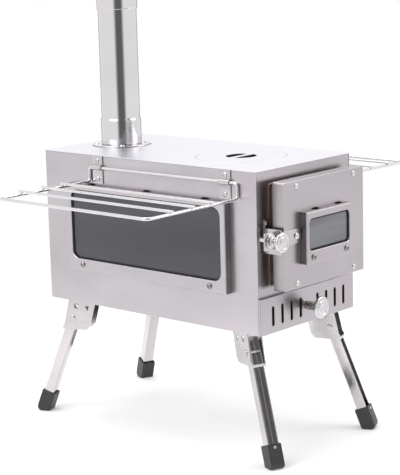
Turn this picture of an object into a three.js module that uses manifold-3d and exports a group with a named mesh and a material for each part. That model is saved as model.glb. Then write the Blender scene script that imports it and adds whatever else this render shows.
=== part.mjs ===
// A tent wood stove: a sheet-steel firebox on four folding legs, with a glazed door, a glazed left
// side, a sliding air vent, two folding wire racks, a lift-off cooking lid and a slip-on chimney.
// Millimetres, +Z up. The door faces -Y, and the origin is under the middle of the stove.

import * as THREE from "three";
import { mergeVertices } from "three/addons/utils/BufferGeometryUtils.js";
import Module from "manifold-3d";

const wasm = await Module();
wasm.setup();

// ---------------------------------------------------------------------------------------------
// Driving dimensions
// ---------------------------------------------------------------------------------------------

const sheet = 1.5; // steel sheet of the casing, the trays and the brackets
const clearance = 0.3; // between pieces that fit or rest on each other

// Casing
const casingLength = 414;
const casingWidth = 214;
const casingHeight = 230;
const standHeight = 183; // underside of the casing above the ground
const panelInset = 0.3; // front and back panels behind the edges of the sides
const floorLip = 12; // upturned edge of the casing's floor

// Door, seen from the front; rises are measured from the casing's underside
const doorWidth = 184.5;
const doorHeight = 152;
const doorCentre = 6.7;
const doorRise = 62;
const doorDepth = 19;
const doorStandOff = 11; // casing front to the door's back edge
const doorCorner = 3;
const linerOverlap = 6; // liner past the rim
const linerBack = 15; // casing front to the liner's back
const studInset = 8; // liner studs from the door's top and bottom edges
const studInsetLeft = 29;
const studInsetRight = 24;
const studRadius = 3.5;

// Rim of the firing hole
const rimInset = 10; // inside the door's outline
const rimFoot = 6;

// Window frames, shallow trays that hold a pane against a gasket
const frameProud = 12;
const paneThickness = 4;
const paneSetBack = 4; // frame's face to the pane
const paneOverlap = 3.7; // pane past the frame's opening
const gasketInset = 3; // gasket inside the frame's opening
const frameLip = 1.2; // thickness of the returned lip round the opening
const tabWidth = 12;
const tabReach = 4; // tabs behind the wall's face
const tabSlitHeight = 3.6;

const sideWindowWidth = 312;
const sideWindowHeight = 131;
const sideWindowCentre = -3; // along Y
const sideWindowRise = 54;
const sideWindowEnds = 9; // frame's end to the opening
const sideWindowTop = 8.5;
const sideWindowBottom = 18;
const sideWindowCorner = 13;
const sideTabSpacing = 112;
const sideScrewSpacing = 252;

const doorWindowWidth = 105;
const doorWindowHeight = 74;
const doorWindowCentre = 3.5;
const doorWindowRise = 95;
const doorWindowEnds = 6;
const doorWindowTop = 10;
const doorWindowBottom = 19;
const doorWindowCorner = 7;
const doorTabSpacing = 53;
const doorTabShift = 8; // middle of the two tabs from the frame's middle
const doorScrewSpacing = 76;

const frameScrewRise = 9.5; // frame's lower edge to its screws

// Fasteners
const rivetHeadRadius = 4;
const rivetHeadHeight = 1.5;
const rivetShankRadius = 2;
const rivetTailRadius = 3.1;
const rivetTailHeight = 1.6;
const screwHeadRadius = 4.3;
const screwHeadHeight = 2.4;
const screwShankRadius = 2;
const screwTip = 3; // past the sheet that it holds
const crossWidth = 1.1; // cross recess of a screw
const crossLength = 4.6;
const crossDepth = 1.2;

// Door hinge: barrels on the door turn on pintles on the casing
const barrelRadius = 3.25;
const pintleRadius = 2;
const barrelLength = 16;
const hingeStandOff = 6; // casing front to the hinge axis
const hingeInset = 18; // barrels from the door's top and bottom edges
const hingeLeaf = 22; // leaf along the door's side
const shelfThickness = 2;
const pintleFoot = 12; // foot of the pintle below its shelf

// Latch: a lever that turns on the door's face
const latchCentre = -60.5;
const latchRise = 137.5;
const leverThickness = 2;
const leverHeight = 21;
const latchSide = -95; // outer face of the lever's side plate
const sidePlateBelow = 21.5;
const sidePlateAbove = 13.5;
const sidePlateBack = 3.8; // casing front to the side plate
const earRadius = 12.5;
const earOffset = 13; // knob axis past the side plate's outer face
const earStandOff = 23; // casing front to the ear's back
const pivotScrewHead = 4.75;
const pivotScrewShank = 2.5;
const latchBoltRadius = 3;
const latchBoltBack = 8; // casing front to the bolt's rear end
const latchNutRadius = 5.5;
const latchNutHeight = 5;
const latchWasherRadius = 10;
const latchSpringLength = 15.6;
const latchSpringCurls = 3;
const latchDiscRadius = 14;
const restPinRadius = 2;
const restPinLength = 6;
const restPinStandOff = 7;
const restPinDrop = 8.5; // rest pin below the latch's pivot
const catchWidth = 7;
const catchGap = 2; // side plate to the catch
const catchTop = 24; // catch plate above the latch's pivot
const catchBottom = 20.5;
const catchReach = 10; // casing front to the end of the rest
const catchScrewRadius = 3;

// Air vent
const ventHeight = 52;
const ventProud = 5;
const slotWidth = 5.5;
const slotHeight = 28.5;
const slotRise = 10;
const slotPitch = 20.7;
const slotsPerSide = 4;
const slotGapCentre = 1.2; // middle of the wide gap between the two sets of slots
const slotGap = 39;
const slideThickness = 1.5;
const slideTravel = 10.35;
const ventKnobX = -8;
const ventKnobRise = 26.5;
const ventStudRadius = 2.5;
const ventStudHeadRadius = 4.5;
const ventStudHeadHeight = 0.9;
const ventCollarRadius = 7;
const ventCollarHeight = 1.5;
const ventSpringLength = 23.6;
const ventSpringCurls = 5;
const ventDiscRadius = 16;
const knobSlotMargin = 1;

// Knob discs and springs
const discThickness = 5;
const discBoreDepth = 3.5;
const springRadius = 5.5; // to the middle of the wire
const springWire = 2;

// Racks
const rackWire = 4.5;
const crossWire = 4;
const rackCentre = -33; // along Y
const rackSpan = 286; // between the middles of the two arms
const rackReach = 183; // casing side to the middle of the outer bar
const rackHeight = 212; // rod above the casing's underside
const rackDrop = 22; // arms below the rod
const rackBend = 5;
const rackCorner = 9;
const crossWirePlaces = [58, 96, 139]; // from the casing's side
const crossWireOverhang = 2.5;
const strapWidth = 20;
const strapFromArm = [23, 15.5]; // straps inside the front and rear arms, middle to middle
const strapTop = 17; // above the rod
const strapBottom = 24; // below the rod
const strapRivetTop = 9.5;
const strapRivetBottom = 17;

// Legs
const legPivotDrop = 29; // below the casing's underside
const legPivotX = 91.5;
const frontLegInset = 24; // pivot from the casing's front
const rearLegInset = 35; // pivot from the casing's back
const legSplay = 22; // direction of a leg from the stove's length, seen from above, degrees
const legTilt = 21; // from upright, degrees
const legWidth = 17.5;
const legDepth = 15.5;
const legHead = 22; // leg above its pivot
const bracketWidth = 23;
const bracketInner = 39; // bracket's reach towards the stove's middle at the top
const bracketOuter = 5.3;
const bracketDepth = 18; // bracket below the pivot
const bracketHip = [28.5, 11]; // inner corner of a flange: towards the middle, and below the pivot
const bracketToe = 22.5; // where a flange's lower edge begins
const legRestHeight = 4;
const lockHoleRadius = 4.5;
const peepHolePoints = [[-27.5, 19.5], [-25, 11.5], [-21, 19.5]]; // small three-cornered hole in a flange
const lockHoleAbove = 20.2; // along the leg above the pivot
const legPinRadius = 2.5;
const legPinCollar = 4.3;
const legPinHeadHeight = 1.7;
const footWidth = 21.5;
const footLength = 34;
const footSole = 6;
const footRound = 12;

// Chimney
const flueCentre = 148.5; // along Y
const pipeRadius = 30;
const pipeWall = 1;
const pipeLength = 242;
const socketLength = 37;
const socketTaper = 3;
const collarHeight = 36;
const collarBelow = 6;
const flangeRadius = 45.5;
const flangeRivetRadius = 38;

// Cooking lid
const lidCentre = -92; // along Y
const lidRadius = 66;
const lidSideGap = 0.5;
const lidSeatWidth = 6; // lid over its seat ring
const seatRingWidth = 14;
const fingerHoleRadius = 22.5;
const fingerBarWidth = 8;
const fingerCupDepth = 11;

// Fire grate
const grateWidth = 150;
const grateLength = 340;
const grateHeight = 18;
const grateThickness = 2;
const grateSlots = 9;
const grateSlotWidth = 7;
const grateSlotLength = 110;

// ---------------------------------------------------------------------------------------------
// Derived sizes
// ---------------------------------------------------------------------------------------------

const casingTop = standHeight + casingHeight;
const sideTop = casingTop - sheet - clearance;
const innerHalfWidth = casingWidth / 2 - sheet - clearance;
const knockedHole = rivetShankRadius + clearance; // hole for a rivet
const screwHole = screwShankRadius + clearance;

// ---------------------------------------------------------------------------------------------
// Materials
// ---------------------------------------------------------------------------------------------

function metal(color, roughness) {
  return new THREE.MeshStandardMaterial({ color, roughness, metalness: 0.9 });
}

const brushedSteel = metal(0xc8c5c7, 0.38);
const lidSteel = metal(0xd8d7dc, 0.32);
const polishedSteel = metal(0xcfd0d3, 0.16);
const wireSteel = metal(0xd6d6d8, 0.2);
const hardwareSteel = metal(0xb9b7b8, 0.25);
const innerSteel = metal(0x8e8782, 0.45);
const paneGlass = new THREE.MeshStandardMaterial({ color: 0x4a4b50, roughness: 0.06, metalness: 0 });
const ropeGasket = new THREE.MeshStandardMaterial({ color: 0x1c1c1d, roughness: 0.9, metalness: 0 });
const blackRubber = new THREE.MeshStandardMaterial({ color: 0x17171a, roughness: 0.6, metalness: 0 });

// ---------------------------------------------------------------------------------------------
// Outlines: lists of points, anticlockwise
// ---------------------------------------------------------------------------------------------

// An upright rectangle with rounded corners.
function box(x0, x1, y0, y1, radius = 0) {
  return { x0, x1, y0, y1, radius };
}

function grown(b, amount) {
  const radius = b.radius > 0 ? Math.max(b.radius + amount, clearance) : 0;
  return box(b.x0 - amount, b.x1 + amount, b.y0 - amount, b.y1 + amount, radius);
}

function arc(x, y, radius, from, to, steps) {
  const points = [];
  for (let i = 0; i <= steps; i++) {
    const angle = THREE.MathUtils.degToRad(from + ((to - from) * i) / steps);
    points.push(new THREE.Vector2(x + radius * Math.cos(angle), y + radius * Math.sin(angle)));
  }
  return points;
}

function polygon(points) {
  return points.map(([x, y]) => new THREE.Vector2(x, y));
}

function circle(x, y, radius, steps = 16) {
  return arc(x, y, radius, 0, 360, steps).slice(0, -1);
}

function outline({ x0, x1, y0, y1, radius }, steps = 4) {
  if (radius === 0) {
    return polygon([[x0, y0], [x1, y0], [x1, y1], [x0, y1]]);
  }
  return [
    ...arc(x1 - radius, y0 + radius, radius, -90, 0, steps),
    ...arc(x1 - radius, y1 - radius, radius, 0, 90, steps),
    ...arc(x0 + radius, y1 - radius, radius, 90, 180, steps),
    ...arc(x0 + radius, y0 + radius, radius, 180, 270, steps),
  ];
}

// An upright slot with round ends.
function slot(x, y0, y1, width) {
  const radius = width / 2;
  return [...arc(x, y1 - radius, radius, 0, 180, 4), ...arc(x, y0 + radius, radius, 180, 360, 4)];
}

// ---------------------------------------------------------------------------------------------
// Solids
// ---------------------------------------------------------------------------------------------

function solidFrom(geometry) {
  geometry.deleteAttribute("normal");
  geometry.deleteAttribute("uv");
  const merged = mergeVertices(geometry, 1e-4);
  return new wasm.Manifold(
    new wasm.Mesh({
      numProp: 3,
      vertProperties: merged.attributes.position.array,
      triVerts: new Uint32Array(merged.index.array),
    }),
  );
}

function geometryFrom(solid) {
  const mesh = solid.getMesh();
  const indexed = new THREE.BufferGeometry();
  indexed.setAttribute("position", new THREE.BufferAttribute(mesh.vertProperties, 3));
  indexed.setIndex(new THREE.BufferAttribute(mesh.triVerts, 1));
  const geometry = indexed.toNonIndexed();
  geometry.computeVertexNormals();
  return geometry;
}

function joined(solids) {
  return solids.reduce((whole, solid) => whole.add(solid));
}

function cut(solid, tools) {
  return tools.reduce((rest, tool) => rest.subtract(tool), solid);
}

function extruded(points, depth) {
  return new THREE.ExtrudeGeometry(new THREE.Shape(points), { depth, bevelEnabled: false });
}

// A plate whose outline lies in x and y, from z0 to z1.
function plate(points, z0, z1, holes = []) {
  const whole = solidFrom(extruded(points, z1 - z0).translate(0, 0, z0));
  return cut(whole, holes.map((hole) => plate(hole, z0 - 1, z1 + 1)));
}

// A bar whose outline lies in x and z, from y0 to y1.
function barAlongY(points, y0, y1) {
  const geometry = extruded(points, y1 - y0);
  geometry.rotateX(Math.PI / 2);
  return solidFrom(geometry.translate(0, y1, 0));
}

// A bar whose outline is given as z and y, from x0 to x1.
function barAlongX(points, x0, x1) {
  const geometry = extruded(points, x1 - x0);
  geometry.rotateY(-Math.PI / 2);
  return solidFrom(geometry.translate(x1, 0, 0));
}

function block(x0, x1, y0, y1, z0, z1) {
  return plate(outline(box(x0, x1, y0, y1)), z0, z1);
}

// A piece turned about an upright axis at x, y. The profile holds radii and heights, outside upwards.
function turned(profile, x = 0, y = 0, segments = 16) {
  const geometry = new THREE.LatheGeometry(polygon(profile), segments);
  geometry.rotateX(Math.PI / 2);
  return solidFrom(geometry.translate(x, y, 0));
}

function rod(x, y, radius, z0, z1, steps = 12) {
  return plate(circle(x, y, radius, steps), z0, z1);
}

// A route through given points, one step of the wire to each.
class Route extends THREE.Curve {
  constructor(points) {
    super();
    this.points = points;
  }
  getPointAt(u, target = new THREE.Vector3()) {
    return target.copy(this.points[Math.round(u * (this.points.length - 1))]);
  }
  getTangentAt(u, target = new THREE.Vector3()) {
    const last = this.points.length - 1;
    const i = Math.round(u * last);
    const before = this.points[Math.max(i - 1, 0)];
    const after = this.points[Math.min(i + 1, last)];
    const here = this.points[i];
    const arriving = here.clone().sub(before).normalize();
    const leaving = after.clone().sub(here).normalize();
    return target.copy(arriving.add(leaving).normalize());
  }
}

function wire(points, diameter, sides) {
  const section = new THREE.Shape(circle(0, 0, diameter / 2, sides));
  const steps = points.length - 1;
  return solidFrom(new THREE.ExtrudeGeometry(section, { steps, extrudePath: new Route(points) }));
}

// Corner points of a wire, each rounded to its own radius in four steps.
function rounded(corners, radii) {
  const steps = 4;
  const points = [corners[0]];
  for (let i = 1; i < corners.length - 1; i++) {
    const arriving = corners[i].clone().sub(corners[i - 1]).normalize();
    const leaving = corners[i + 1].clone().sub(corners[i]).normalize();
    const centre = corners[i].clone().addScaledVector(arriving, -radii[i - 1]);
    centre.addScaledVector(leaving, radii[i - 1]);
    for (let step = 0; step <= steps; step++) {
      const angle = (step / steps) * (Math.PI / 2);
      const point = centre.clone().addScaledVector(leaving, -radii[i - 1] * Math.cos(angle));
      points.push(point.addScaledVector(arriving, radii[i - 1] * Math.sin(angle)));
    }
  }
  points.push(corners[corners.length - 1]);
  return points;
}

function node(group, name, solid, material) {
  const mesh = new THREE.Mesh(geometryFrom(solid), material);
  mesh.name = name;
  group.add(mesh);
}

// ---------------------------------------------------------------------------------------------
// Faces of the casing: on each, x runs to the right seen from outside, y runs up from the ground,
// and z runs outwards from the casing's surface.
// ---------------------------------------------------------------------------------------------

function face(turn, distance) {
  const group = new THREE.Group();
  group.rotation.set(Math.PI / 2, THREE.MathUtils.degToRad(turn), 0, "XYZ");
  group.translateZ(distance);
  return group;
}

const strapPlaces = [
  rackCentre - rackSpan / 2 + strapFromArm[0],
  rackCentre + rackSpan / 2 - strapFromArm[1],
]; // along Y

const stove = new THREE.Group();
const front = face(0, casingLength / 2);
const right = face(90, casingWidth / 2);
const back = face(180, casingLength / 2);
const left = face(-90, casingWidth / 2);
stove.add(front, right, back, left);

// Seen from the left side, the stove's length runs the other way.
const sides = [
  { name: "left", face: left, alongY: -1 },
  { name: "right", face: right, alongY: 1 },
];

// ---------------------------------------------------------------------------------------------
// Fasteners
// ---------------------------------------------------------------------------------------------

// A blind rivet on the plane z = seat, which grips the layers behind it.
function rivet(x, y, seat, grip) {
  const tail = seat - grip;
  const dimple = seat + rivetHeadHeight * 0.4;
  return turned(
    [
      [0, tail - rivetTailHeight],
      [rivetTailRadius, tail - rivetTailHeight],
      [rivetTailRadius, tail],
      [rivetShankRadius, tail],
      [rivetShankRadius, seat],
      [rivetHeadRadius, seat],
      [rivetHeadRadius * 0.8, seat + rivetHeadHeight * 0.7],
      [rivetHeadRadius * 0.4, seat + rivetHeadHeight],
      [rivetHeadRadius * 0.3, dimple],
      [0, dimple],
    ],
    x,
    y,
    8,
  );
}

// A pan-head screw with a cross recess, its head on the plane z = seat.
function screw(x, y, seat, length) {
  const top = seat + screwHeadHeight;
  const body = turned(
    [
      [0, seat - length],
      [screwShankRadius, seat - length],
      [screwShankRadius, seat],
      [screwHeadRadius, seat],
      [screwHeadRadius, seat + screwHeadHeight * 0.4],
      [screwHeadRadius * 0.75, seat + screwHeadHeight * 0.85],
      [screwHeadRadius * 0.35, top],
      [0, top],
    ],
    x,
    y,
    12,
  );
  const half = crossLength / 2;
  const thin = crossWidth / 2;
  return cut(body, [
    block(x - half, x + half, y - thin, y + thin, top - crossDepth, top + 1),
    block(x - thin, x + thin, y - half, y + half, top - crossDepth, top + 1),
  ]);
}

// ---------------------------------------------------------------------------------------------
// Windows: a tray with a returned lip, a pane behind it and a gasket between pane and wall
// ---------------------------------------------------------------------------------------------

const sideFrame = box(
  -sideWindowWidth / 2,
  sideWindowWidth / 2,
  standHeight + sideWindowRise,
  standHeight + sideWindowRise + sideWindowHeight,
);
const sideOpening = box(
  sideFrame.x0 + sideWindowEnds,
  sideFrame.x1 - sideWindowEnds,
  sideFrame.y0 + sideWindowBottom,
  sideFrame.y1 - sideWindowTop,
  sideWindowCorner,
);
const sideWindow = {
  frame: sideFrame,
  opening: sideOpening,
  tabs: [-sideTabSpacing, 0, sideTabSpacing],
  screws: [-sideScrewSpacing / 2, sideScrewSpacing / 2],
};

const doorFrame = box(
  -doorWindowWidth / 2,
  doorWindowWidth / 2,
  standHeight + doorWindowRise,
  standHeight + doorWindowRise + doorWindowHeight,
);
const doorOpening = box(
  doorFrame.x0 + doorWindowEnds,
  doorFrame.x1 - doorWindowEnds,
  doorFrame.y0 + doorWindowBottom,
  doorFrame.y1 - doorWindowTop,
  doorWindowCorner,
);
const doorWindow = {
  frame: doorFrame,
  opening: doorOpening,
  tabs: [doorTabShift - doorTabSpacing / 2, doorTabShift + doorTabSpacing / 2],
  screws: [-doorScrewSpacing / 2, doorScrewSpacing / 2],
};

// The frame stands on the plane z = 0, with tabs through it and holes for two screws.
function windowFrame({ frame, opening, tabs, screws }) {
  const inner = grown(frame, -sheet);
  const lip = plate(outline(grown(opening, frameLip)), frameProud - paneSetBack + clearance, frameProud);
  const tray = plate(outline(frame), clearance, frameProud);
  const hollow = plate(outline(inner), clearance - 1, frameProud - sheet);
  const fingers = tabs.map((x) =>
    block(x - tabWidth / 2, x + tabWidth / 2, inner.y1, frame.y1, -tabReach, frameProud / 2),
  );
  const holes = screws.map((x) => rod(x, frame.y0 + frameScrewRise, screwHole, 0, frameProud + 1, 8));
  return cut(joined([tray.subtract(hollow), lip, ...fingers]), [
    plate(outline(opening), 0, frameProud + 1),
    ...holes,
  ]);
}

// What the wall behind a window loses: the sight hole, the screw holes and the slits for the tabs.
function windowHoles({ frame, opening, tabs, screws }) {
  return [
    outline(grown(opening, -gasketInset)),
    ...screws.map((x) => circle(x, frame.y0 + frameScrewRise, screwHole, 8)),
    ...tabs.map((x) =>
      outline(
        box(
          x - tabWidth / 2 - clearance,
          x + tabWidth / 2 + clearance,
          frame.y1 - sheet - clearance,
          frame.y1 - sheet - clearance + tabSlitHeight,
        ),
      ),
    ),
  ];
}

function pane({ opening }) {
  const faceZ = frameProud - paneSetBack;
  return plate(outline(grown(opening, paneOverlap)), faceZ - paneThickness, faceZ);
}

function gasket({ opening }) {
  const top = frameProud - paneSetBack - paneThickness - clearance;
  return plate(outline(grown(opening, paneOverlap)), clearance, top, [outline(grown(opening, -gasketInset))]);
}

// Adds a window's pieces to a group that lies on the wall, with the window's middle at x = 0.
function addWindow(group, prefix, design, screwNames) {
  node(group, prefix + "_frame", windowFrame(design), brushedSteel);
  node(group, prefix + "_glass", pane(design), paneGlass);
  node(group, prefix + "_gasket", gasket(design), ropeGasket);
  const seat = frameProud + clearance;
  design.screws.forEach((x, i) => {
    const solid = screw(x, design.frame.y0 + frameScrewRise, seat, seat + sheet + screwTip);
    node(group, prefix + "_screw_" + screwNames[i], solid, hardwareSteel);
  });
}

function onWall(parent, x, z) {
  const group = new THREE.Group();
  group.position.set(x, 0, z);
  parent.add(group);
  return group;
}

function shifted(points, dx) {
  return points.map((point) => new THREE.Vector2(point.x + dx, point.y));
}

// ---------------------------------------------------------------------------------------------
// Casing
// ---------------------------------------------------------------------------------------------

const doorBox = box(
  doorCentre - doorWidth / 2,
  doorCentre + doorWidth / 2,
  standHeight + doorRise,
  standHeight + doorRise + doorHeight,
  doorCorner,
);
const rimBox = grown(doorBox, -rimInset);
rimBox.radius = doorCorner;

const ventSlots = [];
for (let i = 0; i < slotsPerSide; i++) {
  const fromMiddle = slotGap / 2 + i * slotPitch;
  ventSlots.push(slotGapCentre - fromMiddle, slotGapCentre + fromMiddle);
}

function ventSlotOutline(x, margin = 0) {
  const y = standHeight + slotRise;
  return slot(x, y - margin, y + slotHeight + margin, slotWidth + 2 * margin);
}

const rodHeight = standHeight + rackHeight;
const strapRivets = [rodHeight + strapRivetTop, rodHeight - strapRivetBottom];

function sidePanel(alongY, holes) {
  const half = casingLength / 2;
  const rivetHoles = strapPlaces.flatMap((y) =>
    strapRivets.map((height) => circle(y * alongY, height, knockedHole, 8)),
  );
  const whole = outline(box(-half, half, standHeight, sideTop));
  return plate(whole, -sheet, 0, [...rivetHoles, ...holes]);
}

function addCasing() {
  const windowPlace = -sideWindowCentre;
  const windowCuts = windowHoles(sideWindow).map((hole) => shifted(hole, windowPlace));
  node(left, "casing_left_side", sidePanel(-1, windowCuts), brushedSteel);
  node(right, "casing_right_side", sidePanel(1, []), brushedSteel);
  addWindow(onWall(left, windowPlace, 0), "side_window", sideWindow, ["rear", "front"]);

  const endPanel = outline(box(-innerHalfWidth, innerHalfWidth, standHeight, sideTop));
  const slots = ventSlots.map((x) => ventSlotOutline(x, clearance));
  const throat = outline(grown(rimBox, clearance));
  const outer = -panelInset;
  node(front, "casing_front", plate(endPanel, outer - sheet, outer, [throat, ...slots]), brushedSteel);
  node(back, "casing_back", plate(endPanel, outer - sheet, outer), brushedSteel);

  const top = new THREE.Group();
  top.position.z = casingTop;
  stove.add(top);
  const topPlan = outline(box(-casingWidth / 2, casingWidth / 2, -casingLength / 2, casingLength / 2));
  const topHoles = [
    circle(0, lidCentre, lidRadius + lidSideGap, 32),
    circle(0, flueCentre, pipeRadius + clearance, 28),
    ...flangeRivets().map(([x, y]) => circle(x, y, knockedHole, 8)),
  ];
  node(top, "casing_top", plate(topPlan, -sheet, 0, topHoles), brushedSteel);
  addLid(top);
  addChimney(top);

  const floor = new THREE.Group();
  floor.position.z = standHeight;
  stove.add(floor);
  const halfLength = casingLength / 2 - panelInset - sheet - clearance;
  const plan = box(-innerHalfWidth, innerHalfWidth, -halfLength, halfLength);
  const tray = plate(outline(plan), 0, floorLip);
  const hollow = plate(outline(grown(plan, -sheet)), sheet, floorLip + 1);
  node(floor, "casing_bottom", tray.subtract(hollow), brushedSteel);
  node(floor, "fire_grate", fireGrate(), innerSteel);
}

// A plate bent down at both sides, with cross slots.
function fireGrate() {
  const half = grateWidth / 2;
  const foot = sheet + clearance;
  const profile = polygon([
    [-half, foot],
    [-half + grateThickness, foot],
    [-half + grateThickness, grateHeight - grateThickness],
    [half - grateThickness, grateHeight - grateThickness],
    [half - grateThickness, foot],
    [half, foot],
    [half, grateHeight],
    [-half, grateHeight],
  ]);
  const pitch = grateLength / (grateSlots + 1);
  const slots = [];
  for (let i = 1; i <= grateSlots; i++) {
    const y = -grateLength / 2 + i * pitch;
    const x = grateSlotLength / 2;
    slots.push(
      block(-x, x, y - grateSlotWidth / 2, y + grateSlotWidth / 2, grateHeight / 2, grateHeight + 1),
    );
  }
  return cut(barAlongY(profile, -grateLength / 2, grateLength / 2), slots);
}

// The rim passes through the front panel and reaches into the door; its foot lies on the panel.
function addRim() {
  const reach = linerBack - clearance;
  const neck = plate(outline(rimBox), -panelInset - sheet - 1, reach);
  const foot = plate(outline(grown(rimBox, rimFoot)), 0, sheet);
  const bore = plate(outline(grown(rimBox, -sheet)), -casingLength, casingLength);
  node(front, "door_rim", neck.add(foot).subtract(bore), innerSteel);
}

// ---------------------------------------------------------------------------------------------
// Lid and chimney, on the casing's top
// ---------------------------------------------------------------------------------------------

function addLid(top) {
  const seatInner = lidRadius - lidSeatWidth;
  const seatTop = -sheet - clearance;
  const ring = plate(circle(0, lidCentre, seatInner + seatRingWidth, 32), seatTop - sheet, seatTop, [
    circle(0, lidCentre, seatInner, 32),
  ]);
  node(top, "lid_seat_ring", ring, brushedSteel);

  const disc = plate(circle(0, lidCentre, lidRadius, 32), -sheet, 0);
  const hole = plate(circle(0, lidCentre, fingerHoleRadius, 24), -sheet - 1, 1);
  const bar = block(
    -fingerHoleRadius - 1,
    fingerHoleRadius + 1,
    lidCentre - fingerBarWidth / 2,
    lidCentre + fingerBarWidth / 2,
    -sheet,
    0,
  );
  const cup = turned(
    [
      [0, -fingerCupDepth],
      [fingerHoleRadius - 3, -fingerCupDepth],
      [fingerHoleRadius + 1, -fingerCupDepth + 4],
      [fingerHoleRadius + 1, -sheet / 2],
      [fingerHoleRadius, -sheet / 2],
      [fingerHoleRadius, -fingerCupDepth + 4.4],
      [fingerHoleRadius - 3.4, -fingerCupDepth + 1],
      [0, -fingerCupDepth + 1],
    ],
    0,
    lidCentre,
    24,
  );
  node(top, "cooking_lid", joined([disc.subtract(hole), bar, cup]), lidSteel);
}

function flangeRivets() {
  const offset = flangeRivetRadius * Math.SQRT1_2;
  return [
    [-offset, flueCentre - offset],
    [offset, flueCentre - offset],
    [offset, flueCentre + offset],
    [-offset, flueCentre + offset],
  ];
}

// A pipe with a wider socket at its lower end, its foot at z = 0.
function pipeProfile(foot) {
  const inner = pipeRadius + clearance;
  const shoulder = foot + socketLength;
  return [
    [inner, foot],
    [inner + pipeWall, foot],
    [inner + pipeWall, shoulder],
    [pipeRadius, shoulder + socketTaper],
    [pipeRadius, foot + pipeLength],
    [pipeRadius - pipeWall, foot + pipeLength],
    [pipeRadius - pipeWall, shoulder + socketTaper],
    [inner, shoulder],
    [inner, foot],
  ];
}

function addChimney(top) {
  const seat = clearance + sheet;
  const collar = turned(
    [
      [pipeRadius - pipeWall, -collarBelow],
      [pipeRadius, -collarBelow],
      [pipeRadius, clearance],
      [flangeRadius, clearance],
      [flangeRadius, seat],
      [pipeRadius, seat],
      [pipeRadius, collarHeight],
      [pipeRadius - pipeWall, collarHeight],
      [pipeRadius - pipeWall, -collarBelow],
    ],
    0,
    flueCentre,
    28,
  );
  const rivets = flangeRivets().map(([x, y]) => rivet(x, y, seat, seat + sheet + clearance));
  node(top, "flue_collar", joined([collar, ...rivets]), brushedSteel);

  const lowerFoot = seat + clearance;
  const upperFoot = lowerFoot + pipeLength + clearance - socketLength;
  node(top, "flue_pipe_lower", turned(pipeProfile(lowerFoot), 0, flueCentre, 28), polishedSteel);
  node(top, "flue_pipe_upper", turned(pipeProfile(upperFoot), 0, flueCentre, 28), polishedSteel);
}

// ---------------------------------------------------------------------------------------------
// Door
// ---------------------------------------------------------------------------------------------

const doorFace = doorStandOff + doorDepth;
const pivotHeight = standHeight + latchRise;

function doorStuds() {
  const xs = [doorBox.x0 + studInsetLeft, doorBox.x1 - studInsetRight];
  const ys = [doorBox.y0 + studInset, doorBox.y1 - studInset];
  return xs.flatMap((x) => ys.map((y) => [x, y]));
}

function addDoor() {
  const windowCuts = windowHoles(doorWindow).map((hole) => shifted(hole, doorWindowCentre));
  const studHoles = doorStuds().map(([x, y]) => circle(x, y, knockedHole, 8));
  const pivotHole = circle(latchCentre, pivotHeight, pivotScrewShank + clearance, 12);
  const skin = plate(outline(doorBox), doorFace - sheet, doorFace, [...windowCuts, ...studHoles, pivotHole]);
  const inside = outline(grown(doorBox, -sheet));
  const walls = plate(outline(doorBox), doorStandOff, doorFace - sheet / 2, [inside]);
  node(front, "door_panel", skin.add(walls), brushedSteel);

  const linerFace = linerBack + sheet;
  const opening = shifted(outline(grown(doorOpening, -gasketInset)), doorWindowCentre);
  const linerBox = grown(rimBox, linerOverlap);
  const liner = plate(outline(linerBox), linerBack, linerFace, [opening]);
  const studs = doorStuds().flatMap(([x, y]) => [
    rod(x, y, studRadius, linerFace - sheet / 2, doorFace - sheet - clearance, 8),
    rivet(x, y, doorFace + clearance, doorFace + clearance - linerBack - rivetTailHeight),
  ]);
  node(front, "door_liner", joined([liner, ...studs]), innerSteel);

  const panel = onWall(front, doorWindowCentre, doorFace);
  addWindow(panel, "door_window", doorWindow, ["left", "right"]);
  addHinges();
}

function addHinges() {
  const axisX = doorBox.x1 + clearance + barrelRadius;
  const places = [
    ["lower", doorBox.y0 + hingeInset],
    ["upper", doorBox.y1 - hingeInset - barrelLength],
  ];
  for (const [name, foot] of places) {
    const barrel = barAlongY(circle(axisX, hingeStandOff, barrelRadius, 16), foot, foot + barrelLength);
    const bore = barAlongY(
      circle(axisX, hingeStandOff, pintleRadius + clearance, 16),
      foot - 1,
      foot + barrelLength + 1,
    );
    const inner = doorBox.x1 + clearance;
    const leafEnd = hingeStandOff + hingeLeaf;
    const leaf = block(inner, inner + sheet, foot, foot + barrelLength, hingeStandOff, leafEnd);
    node(front, "door_hinge_" + name, barrel.add(leaf).subtract(bore), hardwareSteel);

    const shelfTop = foot - clearance;
    const shelf = block(
      axisX - barrelRadius,
      axisX + barrelRadius,
      shelfTop - shelfThickness,
      shelfTop,
      0,
      hingeStandOff + barrelRadius,
    );
    const footPlate = block(
      axisX - barrelRadius,
      innerHalfWidth,
      shelfTop - shelfThickness - pintleFoot,
      shelfTop,
      0,
      sheet,
    );
    const pin = barAlongY(
      circle(axisX, hingeStandOff, pintleRadius, 12),
      shelfTop - shelfThickness / 2,
      foot + barrelLength - 1,
    );
    node(front, "hinge_pintle_" + name, joined([shelf, footPlate, pin]), hardwareSteel);
  }
}

// ---------------------------------------------------------------------------------------------
// Knobs: a stud, a wound spring round it and a disc on its end, all along z
// ---------------------------------------------------------------------------------------------

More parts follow.
